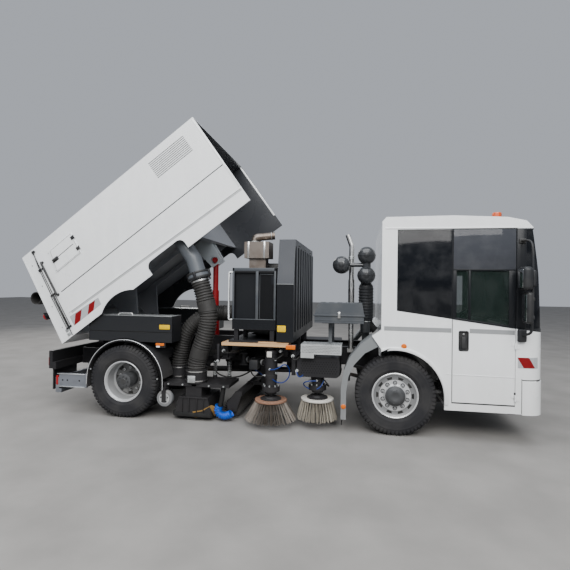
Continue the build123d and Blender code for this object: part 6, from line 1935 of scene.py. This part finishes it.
class SWEEPER_OT_under_deck(bpy.types.Operator):
    """Adds the air reservoirs, pump and hose bundle, a dark board of painted shade beside the apron, and the
    rear bar's lips, holes and reflectors
    """

    bl_idname = "sweeper.under_deck"
    bl_label = "Under the deck"

    def execute(self, context):
        parts = []
        for x, z, length in ((-2.62, 0.7, 0.62), (-1.36, 0.66, 0.62)):
            centre = at(x, -0.2, z)
            parts.append(turned("reservoir", [(0, 0), (0.008, 0.05), (0.022, 0.09), (0.045, 0.115),
                (0.07, 0.122), (length - 0.07, 0.122), (length - 0.045, 0.115), (length - 0.022, 0.09),
                (length - 0.008, 0.05), (length, 0)], centre, AHEAD, 36))
            for share in (0.22, 0.78):
                place = centre + Vector((length * share, 0, 0))
                parts.append(turned("reservoir_strap", band(-0.016, 0.016, 0.1215, 0.126), place, AHEAD,
                    36))
                parts.append(block("reservoir_hanger", place + Vector((-0.02, -0.225, 0)),
                    place + Vector((0.02, -0.118, 0.32 - (z - 0.7))), 0.004))
        finish(joined("reservoirs", parts), "black")
        pump = [
            block("pump_body", at(-1.86, -0.66, 0.9), at(-1.52, -0.43, 1.08), 0.014, 3),
            drum("pump_head", at(-1.52, -0.545, 0.99), at(-1.43, -0.545, 0.99), 0.07, sides=28,
                bevel=0.006),
            block("valve_bank", at(-1.84, -0.7, 1.05), at(-1.56, -0.52, 1.118), 0.006),
        ]
        for step in range(6):
            x = -1.82 + 0.045 * step
            pump.append(drum("valve_cap", at(x, -0.7, 1.085), at(x, -0.735, 1.085), 0.014, sides=14,
                bevel=0.002))
        finish(joined("pump_and_valves", pump), "black")
        bundle = []
        for step in range(5):
            drop = 0.022 * step
            bundle.append(tube("bundle_hose", [at(-2.95, -0.5, 0.94 - drop), at(-2.6, -0.52, 0.92 - drop),
                at(-2.25, -0.5, 0.96 - drop * 0.6), at(-1.95, -0.52, 0.95 - drop),
                at(-1.84, -0.52, 0.98 - drop)], 0.01, 6, order=4))
        finish(joined("hose_bundle", bundle), "rubber")
        # A dark board beside the apron, where the space behind lies in shadow: painted shade that hides the
        # pale floor
        finish_pair(joined("apron_side_panel", [
            block("apron_side_panel", at(-5.035, -0.512, 0.64), at(-4.46, -0.5, 0.9), 0.004),
            block("apron_side_edge", at(-5.035, -0.52, 0.64), at(-5.015, -0.46, 0.9), 0.003),
        ]), "black")
        finish_pair(joined("bar_lips", [block("bar_lip", at(-4.985, -1.196, z - 0.006),
            at(-4.53, -1.178, z + 0.006), 0.004, 3) for z in (0.404, 0.596)]), "zinc")
        # Dark discs on the rear bar: painted shade in its holes
        finish_pair(joined("bar_holes", [drum("bar_hole", at(x, -1.1795, 0.5), at(x, -1.1815, 0.5), 0.013,
            sides=18) for x in (-4.9, -4.82, -4.62)]), "rubber")
        finish_pair(block("bar_reflector", at(-5.012, -1.186, 0.425), at(-4.975, -1.12, 0.565), 0.008, 3),
            "red_lens")
        return {"FINISHED"}


# Camera and stage

LENS = 27.03
SENSOR = 36.0
CAMERA_PLACE = (-0.469, -6.996, 1.967)
CAMERA_YAW = radians(-9.977)
CAMERA_PITCH = radians(0.101)
CAMERA_ROLL = radians(0.658)


def make_camera():
    data = bpy.data.cameras.new("photo_camera")
    data.lens = LENS
    data.sensor_width = SENSOR
    data.clip_end = 200
    camera = bpy.data.objects.new("photo_camera", data)
    bpy.context.scene.collection.objects.link(camera)
    forward = Vector((sin(CAMERA_YAW) * cos(CAMERA_PITCH), cos(CAMERA_YAW) * cos(CAMERA_PITCH),
        sin(CAMERA_PITCH)))
    camera.rotation_mode = "QUATERNION"
    level = forward.to_track_quat("-Z", "Y")
    camera.rotation_quaternion = level @ Matrix.Rotation(CAMERA_ROLL, 3, "Z").to_quaternion()
    camera.location = at(*CAMERA_PLACE)
    bpy.context.scene.camera = camera
    return camera


def make_light(name, place, target, size, power, colour):
    data = bpy.data.lights.new(name, "AREA")
    data.shape = "RECTANGLE"
    data.size, data.size_y = size
    data.energy = power
    data.color = colour
    light = bpy.data.objects.new(name, data)
    light.location = place
    light.rotation_euler = (Vector(target) - Vector(place)).to_track_quat("-Z", "Y").to_euler()
    bpy.context.scene.collection.objects.link(light)
    return light


class SWEEPER_OT_stage(bpy.types.Operator):
    """Adds the camera, the soft lights and the pale floor"""

    bl_idname = "sweeper.stage"
    bl_label = "Stage"

    def execute(self, context):
        make_camera()
        deselect()
        bpy.ops.mesh.primitive_plane_add(size=90, location=(0, 0, -0.002))
        floor = settle(bpy.context.object, "floor")
        made = Mixture("pale_floor", {"Roughness": 0.85})
        made.colour(made.blend(made.noise(1.5, 6.0), (0.185, 0.178, 0.168), (0.225, 0.217, 0.205)))
        floor.data.materials.append(made.material)
        make_light("sky_softbox", (0, -5, 13), (0, 0, 1), (16, 12), 2600, (0.95, 0.97, 1))
        make_light("front_softbox", (3, -15, 11), (0, 0, 1.8), (16, 6), 3400, (1, 0.99, 0.97))
        make_light("rear_softbox", (-9, 9, 8), (0, 0, 1.5), (10, 6), 900, (1, 0.98, 0.95))
        world = bpy.data.worlds.new("overcast")
        world.use_nodes = True
        background = world.node_tree.nodes["Background"]
        background.inputs["Color"].default_value = (0.86, 0.91, 1, 1)
        background.inputs["Strength"].default_value = 0.5
        context.scene.world = world
        return {"FINISHED"}


# Sizes and colours that a user would change


class SweeperSizes(bpy.types.PropertyGroup):
    hose_radius: FloatProperty(name="Hose radius", description="Outer radius of the suction hose",
        default=0.135, min=0.05, max=0.2, unit="LENGTH")


class SweeperColours(bpy.types.PropertyGroup):
    body_white: FloatVectorProperty(name="Body white", description="Paint of the cab and the hopper",
        default=(0.8, 0.815, 0.82), subtype="COLOR", min=0, max=1)
    wheel_silver: FloatVectorProperty(name="Wheel silver", description="Paint of the rims",
        default=(0.62, 0.63, 0.64), subtype="COLOR", min=0, max=1)
    hose_black: FloatVectorProperty(name="Hose black", description="Rubber of the ribbed hoses",
        default=(0.028, 0.027, 0.026), subtype="COLOR", min=0, max=1)


OPERATORS = (
    SWEEPER_OT_stage, SWEEPER_OT_finishes, SWEEPER_OT_tyres, SWEEPER_OT_wheel_hubs, SWEEPER_OT_wheel_faces,
    SWEEPER_OT_hoses, SWEEPER_OT_brushes, SWEEPER_OT_cab_outside, SWEEPER_OT_doors, SWEEPER_OT_cab_front,
    SWEEPER_OT_corners, SWEEPER_OT_mirrors, SWEEPER_OT_seats, SWEEPER_OT_hopper_side, SWEEPER_OT_tailgate,
    SWEEPER_OT_lockers, SWEEPER_OT_cabinet, SWEEPER_OT_cowl, SWEEPER_OT_engine, SWEEPER_OT_behind_cab,
    SWEEPER_OT_nozzle_gear, SWEEPER_OT_brush_gear, SWEEPER_OT_deck_gear, SWEEPER_OT_under_deck,
)


class SWEEPER_PT_panel(bpy.types.Panel):
    """Lists the sweeper's sizes, colours and operators"""

    bl_idname = "SWEEPER_PT_panel"
    bl_label = "Street sweeper"
    bl_space_type = "VIEW_3D"
    bl_region_type = "UI"
    bl_category = "Sweeper"

    def draw(self, context):
        layout = self.layout
        for group in (context.scene.sweeper_sizes, context.scene.sweeper_colours):
            box = layout.box()
            for key in group.__annotations__:
                box.prop(group, key)
        for operator in OPERATORS:
            layout.operator(operator.bl_idname)


GROUPS = (SweeperSizes, SweeperColours)


def register():
    for made in GROUPS + OPERATORS + (SWEEPER_PT_panel,):
        bpy.utils.register_class(made)
    bpy.types.Scene.sweeper_sizes = PointerProperty(type=SweeperSizes)
    bpy.types.Scene.sweeper_colours = PointerProperty(type=SweeperColours)


def unregister():
    del bpy.types.Scene.sweeper_colours
    del bpy.types.Scene.sweeper_sizes
    for made in reversed(GROUPS + OPERATORS + (SWEEPER_PT_panel,)):
        bpy.utils.unregister_class(made)


def main():
    register()
    for operator in OPERATORS:
        family, action = operator.bl_idname.split(".")
        getattr(getattr(bpy.ops, family), action)()


if __name__ == "__main__":
    main()
